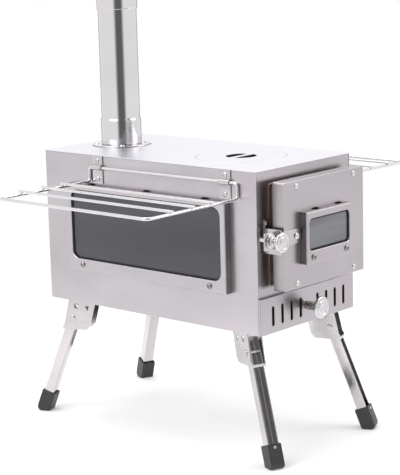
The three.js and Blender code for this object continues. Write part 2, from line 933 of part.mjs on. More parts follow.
// A spring from z0, its two ends straight and square to what they meet.
function spring(name, x, y, z0, length, curls) {
  const stepsPerCurl = 8;
  const bend = springWire;
  const straight = springWire;
  const rise = length - 2 * (bend + straight);
  const points = [];
  const put = (angle, z) => {
    points.push(new THREE.Vector3(x + springRadius * Math.cos(angle), y + springRadius * Math.sin(angle), z));
  };
  const bendAngles = [0, 30, 60].map((degrees) => THREE.MathUtils.degToRad(degrees));
  const turnOfBend = bend / springRadius;
  put(0, z0);
  for (const a of bendAngles) {
    put((1 - Math.cos(a)) * turnOfBend, z0 + straight + bend * Math.sin(a));
  }
  const first = turnOfBend;
  const total = curls * 2 * Math.PI;
  const steps = curls * stepsPerCurl;
  for (let i = 0; i <= steps; i++) {
    put(first + (total * i) / steps, z0 + straight + bend + (rise * i) / steps);
  }
  const end = first + total + turnOfBend;
  for (const a of bendAngles.slice().reverse()) {
    put(end - (1 - Math.cos(a)) * turnOfBend, z0 + length - straight - bend * Math.sin(a));
  }
  put(end, z0 + length);
  reportLeastGap(name, points, stepsPerCurl);
  return wire(points, springWire, 5);
}

// Prints the least gap of a wound wire to itself, measured between points half a curl or more apart.
function reportLeastGap(name, points, stepsPerCurl) {
  let least = Infinity;
  points.forEach((point, i) => {
    for (let j = i + stepsPerCurl / 2; j < points.length; j++) {
      least = Math.min(least, point.distanceTo(points[j]) - springWire);
    }
  });
  console.log(name + ": least gap to itself " + least.toFixed(2) + " mm");
}

// A disc with a rounded rim and a blind bore at its back, its back at z = seat.
function knobDisc(x, y, seat, radius, boreRadius) {
  const top = seat + discThickness;
  return turned(
    [
      [0, seat + discBoreDepth],
      [boreRadius, seat + discBoreDepth],
      [boreRadius, seat],
      [radius - 1, seat],
      [radius, seat + 1],
      [radius, top - 1.6],
      [radius - 1.4, top - 0.4],
      [radius * 0.5, top],
      [0, top - 0.8],
    ],
    x,
    y,
    20,
  );
}

// ---------------------------------------------------------------------------------------------
// Latch
// ---------------------------------------------------------------------------------------------

function addLatch() {
  const back = doorFace + clearance;
  const faceZ = back + leverThickness;
  const half = leverHeight / 2;
  const strap = [
    ...arc(latchCentre, pivotHeight, half, -90, 90, 8),
    ...polygon([[latchSide, pivotHeight + half], [latchSide, pivotHeight - half]]),
  ];
  const pivotHole = circle(latchCentre, pivotHeight, pivotScrewShank + clearance, 12);
  const sidePlate = block(
    latchSide,
    latchSide + leverThickness,
    pivotHeight - sidePlateBelow,
    pivotHeight + sidePlateAbove,
    sidePlateBack,
    faceZ,
  );
  const knobX = latchSide - earOffset;
  const earFace = earStandOff + leverThickness;
  const ear = plate(circle(knobX, pivotHeight, earRadius, 24), earStandOff, earFace);
  const neck = block(knobX, latchSide + 1, pivotHeight - half, pivotHeight + half, earStandOff, earFace);
  const restPin = barAlongX(
    circle(restPinStandOff, pivotHeight - restPinDrop, restPinRadius, 12),
    latchSide + 1,
    latchSide + leverThickness + restPinLength,
  );
  const boltHole = rod(knobX, pivotHeight, latchBoltRadius + clearance, earStandOff - 1, earFace + 1);
  const lever = joined([plate(strap, back, faceZ, [pivotHole]), sidePlate, ear, neck, restPin]);
  node(front, "latch_lever", lever.subtract(boltHole), brushedSteel);

  const screwSeat = faceZ + clearance;
  const pivotScrew = turned(
    [
      [0, doorFace - sheet - screwTip],
      [pivotScrewShank, doorFace - sheet - screwTip],
      [pivotScrewShank, screwSeat],
      [pivotScrewHead, screwSeat],
      [pivotScrewHead, screwSeat + 1.2],
      [pivotScrewHead * 0.7, screwSeat + 2],
      [0, screwSeat + 2.2],
    ],
    latchCentre,
    pivotHeight,
    16,
  );
  node(front, "latch_pivot_screw", pivotScrew, hardwareSteel);

  const nutTop = earStandOff - clearance;
  const washer = earFace + clearance;
  const springFoot = washer + sheet + clearance;
  const discSeat = springFoot + latchSpringLength + clearance;
  const bolt = joined([
    rod(knobX, pivotHeight, latchBoltRadius, latchBoltBack, discSeat + discBoreDepth - clearance),
    plate(circle(knobX, pivotHeight, latchNutRadius, 6), nutTop - latchNutHeight, nutTop),
    rod(knobX, pivotHeight, latchWasherRadius, washer, washer + sheet, 20),
  ]);
  node(front, "latch_bolt", bolt, hardwareSteel);
  const coil = spring("latch_spring", knobX, pivotHeight, springFoot, latchSpringLength, latchSpringCurls);
  node(front, "latch_spring", coil, wireSteel);
  const disc = knobDisc(knobX, pivotHeight, discSeat, latchDiscRadius, latchBoltRadius + clearance);
  node(front, "latch_disc", disc, polishedSteel);
}

// The catch is screwed to the front panel, and the latch's rest pin lies on its tongue.
function addCatch() {
  const x0 = latchSide + leverThickness + catchGap;
  const x1 = x0 + catchWidth;
  const tongueTop = pivotHeight - restPinDrop - restPinRadius - clearance;
  const footPlate = block(x0, x1, pivotHeight - catchBottom, pivotHeight + catchTop, 0, sheet);
  const tongue = block(x0, x1 - catchWidth / 3, tongueTop - sheet, tongueTop, 0, catchReach);
  const middle = (x0 + x1) / 2;
  const screwY = pivotHeight + catchTop - catchScrewRadius - 2;
  const head = turned(
    [
      [0, sheet / 2],
      [catchScrewRadius, sheet / 2],
      [catchScrewRadius, sheet + 0.5],
      [catchScrewRadius * 0.7, sheet + 1.3],
      [0, sheet + 1.6],
    ],
    middle,
    screwY,
    12,
  );
  node(front, "latch_catch", joined([footPlate, tongue, head]), hardwareSteel);
}

// ---------------------------------------------------------------------------------------------
// Air vent: a slotted slide behind a slotted cover, moved by a knob
// ---------------------------------------------------------------------------------------------

function addVent() {
  const knobY = standHeight + ventKnobRise;
  const coverBox = box(-casingWidth / 2, casingWidth / 2, standHeight, standHeight + ventHeight);
  const channel = grown(coverBox, -sheet);
  const slotReach = ventStudRadius + knobSlotMargin;
  const slotHalf = ventStudRadius + clearance;
  const slotX1 = ventKnobX + slideTravel + slotReach;
  const knobSlot = outline(
    box(ventKnobX - slotReach, slotX1, knobY - slotHalf, knobY + slotHalf, slotHalf / 2),
  );
  const coverSlots = ventSlots.map((x) => ventSlotOutline(x));
  const skin = plate(outline(coverBox), ventProud - sheet, ventProud, [...coverSlots, knobSlot]);
  const walls = plate(outline(coverBox), clearance, ventProud - sheet / 2, [outline(channel)]);
  node(front, "vent_cover", skin.add(walls), brushedSteel);

  const slideFace = ventProud - sheet - clearance;
  const slideBox = grown(channel, -clearance);
  slideBox.x1 -= slideTravel;
  const studHole = circle(ventKnobX, knobY, ventStudRadius + clearance, 12);
  const slide = plate(outline(slideBox), slideFace - slideThickness, slideFace, [...coverSlots, studHole]);
  node(front, "vent_slide", slide, innerSteel);

  const headTop = slideFace - slideThickness - clearance;
  const collarFoot = ventProud + clearance;
  const springFoot = collarFoot + ventCollarHeight + clearance;
  const discSeat = springFoot + ventSpringLength + clearance;
  const studEnd = discSeat + discBoreDepth - clearance;
  const stud = joined([
    rod(ventKnobX, knobY, ventStudHeadRadius, headTop - ventStudHeadHeight, headTop, 16),
    rod(ventKnobX, knobY, ventStudRadius, headTop - ventStudHeadHeight / 2, studEnd),
    rod(ventKnobX, knobY, ventCollarRadius, collarFoot, collarFoot + ventCollarHeight, 16),
  ]);
  node(front, "vent_knob_stud", stud, hardwareSteel);
  const coil = spring("vent_knob_spring", ventKnobX, knobY, springFoot, ventSpringLength, ventSpringCurls);
  node(front, "vent_knob_spring", coil, wireSteel);
  const disc = knobDisc(ventKnobX, knobY, discSeat, ventDiscRadius, ventStudRadius + clearance);
  node(front, "vent_knob_disc", disc, polishedSteel);
}

// ---------------------------------------------------------------------------------------------
// Racks
// ---------------------------------------------------------------------------------------------

const rodStandOff = clearance / 2 + rackWire / 2 + 0.35; // casing side to the rod's middle

// A closed wire loop: a rod along the casing, arms that drop and reach out, and an outer bar.
// The rod's middle is the origin; x runs along the casing, y up and z outwards.
function rackSolid() {
  const half = rackSpan / 2;
  const out = rackReach - rodStandOff;
  const overlap = 3;
  const end = half - rackBend;
  const point = (x, y, z) => new THREE.Vector3(x, y, z);
  const loop = rounded(
    [
      point(end - overlap, 0, 0),
      point(half, 0, 0),
      point(half, -rackDrop, 0),
      point(half, -rackDrop, out),
      point(-half, -rackDrop, out),
      point(-half, -rackDrop, 0),
      point(-half, 0, 0),
      point(-end + overlap, 0, 0),
    ],
    [rackBend, rackBend, rackCorner, rackCorner, rackBend, rackBend],
  );
  const rodAlong = wire([point(-end, 0, 0), point(end, 0, 0)], rackWire, 10);
  const weld = 0.3;
  const crossHeight = -rackDrop + (rackWire + crossWire) / 2 - weld;
  const crossEnd = half + rackWire / 2 + crossWireOverhang;
  const crosses = crossWirePlaces.map((place) => {
    const z = place - rodStandOff;
    return wire([point(-crossEnd, crossHeight, z), point(crossEnd, crossHeight, z)], crossWire, 8);
  });
  return joined([wire(loop, rackWire, 8), rodAlong, ...crosses]);
}

// A strap that passes over the rod and is riveted to the casing above and below it.
function strapSolid() {
  const inner = rackWire / 2 + clearance;
  const outer = inner + sheet;
  const seat = clearance + sheet;
  const profile = [
    ...polygon([
      [clearance, -strapBottom],
      [seat, -strapBottom],
      [seat, -outer],
    ]),
    ...arc(rodStandOff, 0, outer, -90, 90, 8),
    ...polygon([
      [seat, outer],
      [seat, strapTop],
      [clearance, strapTop],
      [clearance, inner],
    ]),
    ...arc(rodStandOff, 0, inner, 90, -90, 8),
    ...polygon([[clearance, -inner]]),
  ];
  const strap = barAlongX(profile, -strapWidth / 2, strapWidth / 2);
  const grip = seat + sheet + clearance;
  const rivets = [strapRivetTop, -strapRivetBottom].map((y) => rivet(0, y, seat, grip));
  return joined([strap, ...rivets]);
}

function addRacks() {
  for (const side of sides) {
    const rack = new THREE.Group();
    rack.position.set(rackCentre * side.alongY, rodHeight, rodStandOff);
    side.face.add(rack);
    node(rack, "rack_" + side.name, rackSolid(), wireSteel);
    ["front", "rear"].forEach((end, i) => {
      const strap = new THREE.Group();
      strap.position.set(strapPlaces[i] * side.alongY, rodHeight, 0);
      side.face.add(strap);
      node(strap, "rack_bracket_" + side.name + "_" + end, strapSolid(), brushedSteel);
    });
  }
}

// ---------------------------------------------------------------------------------------------
// Legs. Each has a group at its pivot: x points outwards along the leg's splay and z up.
// ---------------------------------------------------------------------------------------------

const tilt = THREE.MathUtils.degToRad(legTilt);
const pivotAboveGround = standHeight - legPivotDrop;

// A point below the pivot along the leg, and off its middle line towards the outside.
function legPoint(down, off) {
  const x = down * Math.sin(tilt) + off * Math.cos(tilt);
  const z = -down * Math.cos(tilt) + off * Math.sin(tilt);
  return new THREE.Vector2(x, z);
}

// How far along a line that runs beside the leg the ground lies.
function groundAlong(off) {
  return (pivotAboveGround + off * Math.sin(tilt)) / Math.cos(tilt);
}

const footFloor = groundAlong(-footWidth / 2) - footSole; // foot's pocket, along the leg

function bracketSolid() {
  const top = legPivotDrop - clearance;
  const half = bracketWidth / 2;
  const restBottom = -bracketDepth;
  const restInner = -restBottom * Math.tan(tilt) + legDepth / 2 / Math.cos(tilt) + clearance;
  const restOuter = restInner + sheet;
  const flange = polygon([
    [bracketOuter, top],
    [-bracketInner, top],
    [-bracketHip[0], -bracketHip[1]],
    [-bracketToe, restBottom],
    [restInner - sheet * 2, restBottom],
    [restOuter, restBottom],
    [restOuter, restBottom + legRestHeight],
    [restInner - 1.5, restBottom + legRestHeight + 5],
  ]);
  const flanges = [barAlongY(flange, -half, -half + sheet), barAlongY(flange, half - sheet, half)];
  const web = block(-bracketInner, bracketOuter, -half, half, top - sheet, top);
  const rest = block(restInner, restOuter, -half, half, restBottom, restBottom + legRestHeight);
  const lock = legPoint(-lockHoleAbove, 0);
  const lockHole = barAlongY(circle(lock.x, lock.y, lockHoleRadius, 12), -half - 1, half + 1);
  const peepHole = barAlongY(polygon(peepHolePoints), -half - 1, half + 1);
  return cut(joined([...flanges, web, rest]), [lockHole, peepHole]).add(pivotPin());
}

// The rivet that the leg turns on, with a collar each side that keeps the leg in the middle.
function pivotPin() {
  const inner = legWidth / 2 + clearance;
  const outer = bracketWidth / 2;
  const end = outer + legPinHeadHeight;
  const geometry = new THREE.LatheGeometry(
    polygon([
      [0, -end],
      [legPinCollar * 0.7, -end],
      [legPinCollar, -outer - legPinHeadHeight / 2],
      [legPinCollar, -inner],
      [legPinRadius, -inner],
      [legPinRadius, inner],
      [legPinCollar, inner],
      [legPinCollar, outer + legPinHeadHeight / 2],
      [legPinCollar * 0.7, end],
      [0, end],
    ]),
    10,
  );
  return solidFrom(geometry);
}

// A channel open to the outside, along its own z.
function legSolid() {
  const x = legDepth / 2;
  const y = legWidth / 2;
  const section = polygon([
    [-x, -y],
    [x, -y],
    [x, -y + sheet],
    [-x + sheet, -y + sheet],
    [-x + sheet, y - sheet],
    [x, y - sheet],
    [x, y],
    [-x, y],
  ]);
  const pinHole = barAlongY(circle(0, 0, legPinRadius + clearance, 12), -y - 1, y + 1);
  return plate(section, -footFloor + clearance, legHead).subtract(pinHole);
}

// A rubber shoe over the leg's end, cut flat where it stands.
function footSolid() {
  const half = footWidth / 2;
  const topAt = groundAlong(0) - footLength;
  const corner = legPoint(groundAlong(half), half);
  const roundStart = legPoint(groundAlong(half) - footRound, half);
  const roundEnd = new THREE.Vector2(corner.x - footRound, corner.y);
  const toe = new THREE.QuadraticBezierCurve(roundStart, corner, roundEnd).getPoints(4);
  const profile = [
    legPoint(topAt, -half),
    legPoint(groundAlong(-half), -half),
    ...toe.reverse(),
    legPoint(topAt, half),
  ];
  const pocketDepth = legDepth / 2 + clearance;
  const pocketWidth = legWidth / 2 + clearance;
  const pocket = barAlongY(
    [
      legPoint(topAt - 1, -pocketDepth),
      legPoint(footFloor, -pocketDepth),
      legPoint(footFloor, pocketDepth),
      legPoint(topAt - 1, pocketDepth),
    ],
    -pocketWidth,
    pocketWidth,
  );
  return barAlongY(profile, -half, half).subtract(pocket);
}

function addLegs() {
  const ends = [
    ["front", frontLegInset - casingLength / 2, -1],
    ["rear", casingLength / 2 - rearLegInset, 1],
  ];
  const splay = THREE.MathUtils.degToRad(legSplay);
  for (const [end, y, alongY] of ends) {
    for (const [side, alongX] of [["left", -1], ["right", 1]]) {
      const pivot = new THREE.Group();
      pivot.position.set(legPivotX * alongX, y, pivotAboveGround);
      pivot.rotation.z = Math.atan2(Math.cos(splay) * alongY, Math.sin(splay) * alongX);
      stove.add(pivot);
      node(pivot, "leg_bracket_" + end + "_" + side, bracketSolid(), brushedSteel);
      const leg = new THREE.Group();
      leg.rotation.y = -tilt;
      pivot.add(leg);
      node(leg, "leg_" + end + "_" + side, legSolid(), brushedSteel);
      node(pivot, "foot_" + end + "_" + side, footSolid(), blackRubber);
    }
  }
}

// ---------------------------------------------------------------------------------------------
// The stove, moved so that its origin lies on the ground under the middle of its outline
// ---------------------------------------------------------------------------------------------

addCasing();
addRim();
addDoor();
addLatch();
addCatch();
addVent();
addRacks();
addLegs();

const extent = new THREE.Box3().setFromObject(stove, true);
const middle = extent.getCenter(new THREE.Vector3());
stove.position.set(-middle.x, -middle.y, -extent.min.z);

export default stove;
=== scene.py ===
"""Looks of the tent wood stove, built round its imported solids.

Shapes are made in millimetres on the faces of the casing, as the solids are, and placed in metres.
On each face x runs to the right seen from outside, y runs up and z runs outwards.
"""

import math

import bmesh
import bpy
from mathutils import Matrix, Vector

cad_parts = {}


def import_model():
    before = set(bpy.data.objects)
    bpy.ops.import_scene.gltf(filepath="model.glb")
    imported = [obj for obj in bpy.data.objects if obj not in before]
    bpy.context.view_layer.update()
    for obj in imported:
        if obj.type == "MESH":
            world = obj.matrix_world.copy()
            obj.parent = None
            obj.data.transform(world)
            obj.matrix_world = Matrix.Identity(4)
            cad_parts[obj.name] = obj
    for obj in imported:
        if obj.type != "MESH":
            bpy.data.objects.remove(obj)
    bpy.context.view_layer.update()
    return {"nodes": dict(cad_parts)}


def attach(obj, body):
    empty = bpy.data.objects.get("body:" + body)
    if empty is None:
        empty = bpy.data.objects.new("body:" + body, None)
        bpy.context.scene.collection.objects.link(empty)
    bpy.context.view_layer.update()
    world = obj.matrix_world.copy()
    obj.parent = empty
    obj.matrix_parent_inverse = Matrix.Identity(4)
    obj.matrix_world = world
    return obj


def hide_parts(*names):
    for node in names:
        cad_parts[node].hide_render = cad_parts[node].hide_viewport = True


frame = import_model()
nodes = frame["nodes"]

MM = 0.001
HALF_WIDTH, HALF_LENGTH = 107, 207  # casing
BASE, CASING_TOP = 183, 413  # heights of the casing's underside and top
PANEL_TOP = 411.4  # upper edge of the casing's upright panels
top_reach = [vertex.co.y / MM for vertex in nodes["casing_top"].data.vertices]
SHIFT = (min(top_reach) + max(top_reach)) / 2  # Y of the casing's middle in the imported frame
CORNERS = [("front_left", -1, -1), ("front_right", 1, -1), ("rear_left", -1, 1), ("rear_right", 1, 1)]


# ---------------------------------------------------------------------------------------------
# Places
# ---------------------------------------------------------------------------------------------


def place(right, up, out, origin):
    columns = [Vector(right) * MM, Vector(up) * MM, Vector(out) * MM]
    matrix = Matrix(columns).transposed().to_4x4()
    matrix.translation = Vector((origin[0], origin[1] + SHIFT, origin[2])) * MM
    return matrix


FRONT = place((1, 0, 0), (0, 0, 1), (0, -1, 0), (0, -HALF_LENGTH, 0))
BACK = place((-1, 0, 0), (0, 0, 1), (0, 1, 0), (0, HALF_LENGTH, 0))
LEFT = place((0, -1, 0), (0, 0, 1), (-1, 0, 0), (-HALF_WIDTH, 0, 0))
RIGHT = place((0, 1, 0), (0, 0, 1), (1, 0, 0), (HALF_WIDTH, 0, 0))
TOP = place((1, 0, 0), (0, 1, 0), (0, 0, 1), (0, 0, CASING_TOP))


def offset(matrix, x=0, y=0, z=0):
    return matrix @ Matrix.Translation((x, y, z))


# ---------------------------------------------------------------------------------------------
# Outlines
# ---------------------------------------------------------------------------------------------


def arc(x, y, radius, start, end, steps):
    points = []
    for i in range(steps + 1):
        a = math.radians(start + (end - start) * i / steps)
        points.append((x + radius * math.cos(a), y + radius * math.sin(a)))
    return points


def circle(x, y, radius, steps=96):
    return arc(x, y, radius, 0, 360, steps)[:-1]


def box(x0, x1, y0, y1, radius=0.0, steps=8):
    if radius <= 0:
        return [(x0, y0), (x1, y0), (x1, y1), (x0, y1)]
    r = radius
    return (
        arc(x1 - r, y0 + r, r, -90, 0, steps)
        + arc(x1 - r, y1 - r, r, 0, 90, steps)
        + arc(x0 + r, y1 - r, r, 90, 180, steps)
        + arc(x0 + r, y0 + r, r, 180, 270, steps)
    )


def grown(b, amount, radius):
    x0, x1, y0, y1 = b
    return box(x0 - amount, x1 + amount, y0 - amount, y1 + amount, radius)


def slot(x, y0, y1, width):
    r = width / 2
    return arc(x, y1 - r, r, 0, 180, 10) + arc(x, y0 + r, r, 180, 360, 10)


def softened(points, radius, closed=True, steps=3):
    """The outline or profile with each corner rounded."""
    out = []
    n = len(points)
    for i, point in enumerate(points):
        p = Vector(point)
        if not closed and i in (0, n - 1):
            out.append(tuple(p))
            continue
        a, b = Vector(points[i - 1]) - p, Vector(points[(i + 1) % n]) - p
        reach = min(radius, a.length * 0.45, b.length * 0.45)
        start, end = p + a.normalized() * reach, p + b.normalized() * reach
        for k in range(steps + 1):
            t = k / steps
            out.append(tuple(start * (1 - t) ** 2 + p * 2 * t * (1 - t) + end * t * t))
    return out


# ---------------------------------------------------------------------------------------------
# Shapes: each returns a bmesh in millimetres
# ---------------------------------------------------------------------------------------------


def plate(outline, z0, z1, holes=(), edge=0.3):
    """A flat plate with holes and rounded edges."""
    curve = bpy.data.curves.new("outline", "CURVE")
    curve.dimensions = "2D"
    curve.fill_mode = "BOTH"
    edge = min(edge, (z1 - z0) * 0.45)
    curve.extrude = (z1 - z0) / 2 - edge
    curve.bevel_depth = edge
    curve.bevel_resolution = 1
    curve.offset = -edge
    for loop in [outline, *holes]:
        spline = curve.splines.new("POLY")
        spline.points.add(len(loop) - 1)
        for point, (x, y) in zip(spline.points, loop):
            point.co = (x, y, 0, 1)
        spline.use_cyclic_u = True
    holder = bpy.data.objects.new("outline", curve)
    bpy.context.scene.collection.objects.link(holder)
    bpy.context.view_layer.update()
    graph = bpy.context.evaluated_depsgraph_get()
    mesh = bpy.data.meshes.new_from_object(holder.evaluated_get(graph))
    bpy.data.objects.remove(holder)
    bpy.data.curves.remove(curve)
    bm = bmesh.new()
    bm.from_mesh(mesh)
    bpy.data.meshes.remove(mesh)
    bmesh.ops.remove_doubles(bm, verts=bm.verts, dist=0.001)
    bmesh.ops.translate(bm, verts=bm.verts, vec=(0, 0, (z0 + z1) / 2))
    bmesh.ops.recalc_face_normals(bm, faces=bm.faces)
    return bm


def bar(outline, x0, x1, edge=0.3):
    """A bar along x whose outline is given as y and z."""
    bm = plate(outline, x0, x1, edge=edge)
    turn = Matrix(((0, 0, 1), (1, 0, 0), (0, 1, 0))).to_4x4()
    bm.transform(turn)
    return bm


def block(x0, x1, y0, y1, z0, z1, edge=0.3):
    return plate(box(x0, x1, y0, y1), z0, z1, edge=edge)


def loft(loops):
    """A closed band through loops of equal length, the last joined to the first."""
    bm = bmesh.new()
    rows = [[bm.verts.new(p) for p in loop] for loop in loops]
    count = len(rows[0])
    for a, b in zip(rows, rows[1:] + rows[:1]):
        for i in range(count):
            j = (i + 1) % count
            bm.faces.new((a[i], a[j], b[j], b[i]))
    bmesh.ops.recalc_face_normals(bm, faces=bm.faces)
    return bm


def lathe(profile, x=0.0, y=0.0, steps=64):
    """A solid turned about z. A profile that ends on the axis is closed there, any other on itself."""
    bm = bmesh.new()
    on_axis = profile[0][0] < 1e-6 and profile[-1][0] < 1e-6
    rows = []
    for r, z in profile:
        if r < 1e-6:
            rows.append([bm.verts.new((x, y, z))])
        else:
            rows.append([bm.verts.new((px, py, z)) for px, py in circle(x, y, r, steps)])
    pairs = list(zip(rows, rows[1:]))
    if not on_axis:
        pairs.append((rows[-1], rows[0]))
    for a, b in pairs:
        for i in range(steps):
            j = (i + 1) % steps
            ring = [a[i % len(a)], a[j % len(a)], b[j % len(b)], b[i % len(b)]]
            corners = list(dict.fromkeys(ring))
            if len(corners) > 2:
                bm.faces.new(corners)
    bmesh.ops.recalc_face_normals(bm, faces=bm.faces)
    return bm


def rod(x, y, radius, z0, z1, edge=0.3, steps=40):
    profile = [(0, z0), (radius, z0), (radius, z1), (0, z1)]
    return lathe(softened(profile, edge, closed=False), x, y, steps)


def tube(points, radius, sides=16, closed=False):
    """A round wire along points."""
    bm = bmesh.new()
    points = [Vector(p) for p in points]
    n = len(points)
    normal = None
    rings = []
    for i, p in enumerate(points):
        before = points[i - 1] if i or closed else p
        after = points[(i + 1) % n] if i < n - 1 or closed else p
        along = (after - before).normalized()
        if normal is None:
            normal = along.orthogonal().normalized()
        normal = (normal - along * normal.dot(along)).normalized()
        side = along.cross(normal)
        ring = []
        for k in range(sides):
            a = 2 * math.pi * k / sides
            ring.append(bm.verts.new(p + (normal * math.cos(a) + side * math.sin(a)) * radius))
        rings.append(ring)
    pairs = list(zip(rings, rings[1:]))
    if closed:
        first, last = rings[0], rings[-1]
        near = min(range(sides), key=lambda k: (first[k].co - last[0].co).length)
        pairs.append((last, first[near:] + first[:near]))
    for a, b in pairs:
        for k in range(sides):
            m = (k + 1) % sides
            bm.faces.new((a[k], a[m], b[m], b[k]))
    if not closed:
        bm.faces.new(rings[0])
        bm.faces.new(rings[-1])
    bmesh.ops.recalc_face_normals(bm, faces=bm.faces)
    return bm


def solid(node, edge, steps=2):
    """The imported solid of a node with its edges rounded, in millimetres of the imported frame."""
    bm = bmesh.new()
    bm.from_mesh(nodes[node].data)
    bmesh.ops.remove_doubles(bm, verts=bm.verts, dist=1e-6)
    bm.transform(Matrix.Scale(1 / MM, 4))
    bmesh.ops.dissolve_limit(
        bm, angle_limit=math.radians(1), verts=bm.verts, edges=bm.edges, use_dissolve_boundaries=False
    )
    sharp = [e for e in bm.edges if len(e.link_faces) == 2 and e.calc_face_angle(0) > math.radians(32)]
    bmesh.ops.bevel(
        bm,
        geom=sharp,
        offset=edge,
        offset_type="OFFSET",
        segments=steps,
        profile=0.5,
        affect="EDGES",
        clamp_overlap=True,
    )
    bmesh.ops.recalc_face_normals(bm, faces=bm.faces)
    return bm


PACKED = Matrix.Scale(MM, 4)


# ---------------------------------------------------------------------------------------------
# Materials
# ---------------------------------------------------------------------------------------------


class Nodes:
    """A short way to wire a material's nodes."""

    def __init__(self, name):
        self.material = bpy.data.materials.new(name)
        self.material.use_nodes = True
        self.tree = self.material.node_tree
        self.shader = self.tree.nodes["Principled BSDF"]

    def add(self, kind, **values):
        made = self.tree.nodes.new(kind)
        for key, value in values.items():
            setattr(made, key, value)
        return made

    def link(self, source, target):
        self.tree.links.new(source, target)

    def noise(self, scale, detail=3.0, roughness=0.5):
        """Noise over the piece, scaled apart along x, y and z."""
        place_node = self.add("ShaderNodeTexCoord")
        mapping = self.add("ShaderNodeMapping")
        mapping.inputs["Scale"].default_value = scale
        noise = self.add("ShaderNodeTexNoise")
        noise.inputs["Scale"].default_value = 1.0
        noise.inputs["Detail"].default_value = detail
        noise.inputs["Roughness"].default_value = roughness
        self.link(place_node.outputs["Object"], mapping.inputs["Vector"])
        self.link(mapping.outputs["Vector"], noise.inputs["Vector"])
        return noise.outputs["Fac"]

    def between(self, value, low, high, start=0.3, end=0.7):
        ranged = self.add("ShaderNodeMapRange")
        ranged.inputs["From Min"].default_value = start
        ranged.inputs["From Max"].default_value = end
        ranged.inputs["To Min"].default_value = low
        ranged.inputs["To Max"].default_value = high
        self.link(value, ranged.inputs["Value"])
        return ranged.outputs["Result"]

    def mixed(self, factor, first, second):
        mix = self.add("ShaderNodeMix", data_type="RGBA")
        colours = [socket for socket in mix.inputs if socket.type == "RGBA"]
        colours[0].default_value = (*first, 1)
        colours[1].default_value = (*second, 1)
        self.link(factor, mix.inputs[0])
        return [socket for socket in mix.outputs if socket.type == "RGBA"][0]

    def bump(self, height, strength, distance):
        bump = self.add("ShaderNodeBump")
        bump.inputs["Strength"].default_value = strength
        bump.inputs["Distance"].default_value = distance
        self.link(height, bump.inputs["Height"])
        self.link(bump.outputs["Normal"], self.shader.inputs["Normal"])


def steel(name, light, dark, roughness, grain, strength=0.12, patch=7.0):
    """Stainless sheet: fine drawn grain, large soft patches in its gloss, and casts of pink and blue."""
    m = Nodes(name)
    m.shader.inputs["Metallic"].default_value = 1.0
    patches = m.noise((patch * 0.6, patch * 0.6, patch * 1.2), 3.0, 0.55)
    casts = m.noise((patch * 1.3 + 1, patch * 0.9 + 2, patch * 0.7 + 3), 2.0, 0.5)
    pink = (light[0], light[1] * 0.955, light[2] * 0.98)
    cool = (light[0] * 0.965, light[1] * 0.985, light[2] * 1.0)
    cast = m.mixed(m.between(casts, 0, 1, 0.38, 0.62), pink, cool)
    shade = m.add("ShaderNodeMix", data_type="RGBA")
    colours = [socket for socket in shade.inputs if socket.type == "RGBA"]
    m.link(m.between(patches, 0, 1), shade.inputs[0])
    m.link(cast, colours[0])
    colours[1].default_value = (*dark, 1)
    m.link([socket for socket in shade.outputs if socket.type == "RGBA"][0], m.shader.inputs["Base Color"])
    lines = m.noise(grain, 4.0, 0.65)
    add = m.add("ShaderNodeMath", operation="ADD")
    m.link(m.between(patches, roughness - 0.05, roughness + 0.05), add.inputs[0])
    m.link(m.between(lines, -0.028, 0.028), add.inputs[1])
    m.link(add.outputs[0], m.shader.inputs["Roughness"])
    m.bump(lines, strength, 0.0004)
    return m.material


WALL_GRAIN = (14, 14, 2600)
TOP_GRAIN = (900, 12, 12)
FINE_GRAIN = (420, 420, 420)

wall_steel = steel("wall_steel", (0.63, 0.60, 0.62), (0.49, 0.47, 0.49), 0.33, WALL_GRAIN, 0.06)
# The end sheets, bottom, vent cover and door: the side steel painted darker, as painted shade on the
# front.
front_painted_shade_steel = steel("front_painted_shade_steel", (0.53, 0.50, 0.52), (0.44, 0.42, 0.435), 0.30, WALL_GRAIN, 0.05)
# The walls of the window frames: the same drawn steel painted much darker, as painted shade.
frame_wall_painted_shade_steel = steel(
    "frame_wall_painted_shade_steel", (0.30, 0.28, 0.28), (0.17, 0.16, 0.165), 0.30, WALL_GRAIN, 0.05, 20
)
# Screw heads: darker than the bright steel, as painted shade and painted reflection on them.
screw_painted_shade_steel = steel("screw_painted_shade_steel", (0.42, 0.40, 0.40), (0.24, 0.23, 0.23), 0.12, FINE_GRAIN, 0.04, 80)
# Darker brown steel for the air knob's spring.
dark_brown_steel = steel("dark_brown_steel", (0.34, 0.29, 0.26), (0.20, 0.17, 0.15), 0.22, FINE_GRAIN, 0.06, 80)
# Top and lid: the steel painted paler than the sides, as painted light on the upward faces.
top_painted_light_steel = steel("top_painted_light_steel", (0.80, 0.79, 0.83), (0.74, 0.73, 0.77), 0.36, TOP_GRAIN, 0.08)
lid_steel = steel("lid_steel", (0.80, 0.79, 0.83), (0.75, 0.74, 0.78), 0.33, TOP_GRAIN, 0.08)
small_steel = steel("small_steel", (0.64, 0.62, 0.63), (0.54, 0.52, 0.53), 0.20, FINE_GRAIN, 0.05, 40)
leg_steel = steel("leg_steel", (0.70, 0.68, 0.68), (0.60, 0.58, 0.585), 0.15, (300, 300, 30), 0.05, 16)
pipe_steel = steel("pipe_steel", (0.68, 0.67, 0.675), (0.62, 0.61, 0.62), 0.09, (260, 260, 8), 0.03, 9)
bright_steel = steel("bright_steel", (0.72, 0.71, 0.72), (0.62, 0.61, 0.62), 0.13, FINE_GRAIN, 0.04, 60)
wire_steel = steel("wire_steel", (0.78, 0.775, 0.78), (0.68, 0.67, 0.68), 0.17, FINE_GRAIN, 0.05, 50)
# Dark brown steel for the door rim, door liner, grate and air slide: its darkness is painted shade of the
# gap behind the door.
inner_steel = steel("inner_steel", (0.40, 0.31, 0.26), (0.27, 0.21, 0.18), 0.36, WALL_GRAIN, 0.15, 30)
# Nearly black: painted shade in the lid's pressed cup under its finger holes.
cup_painted_shade_steel = steel("cup_painted_shade_steel", (0.075, 0.07, 0.068), (0.03, 0.028, 0.028), 0.45, FINE_GRAIN, 0.2, 60)


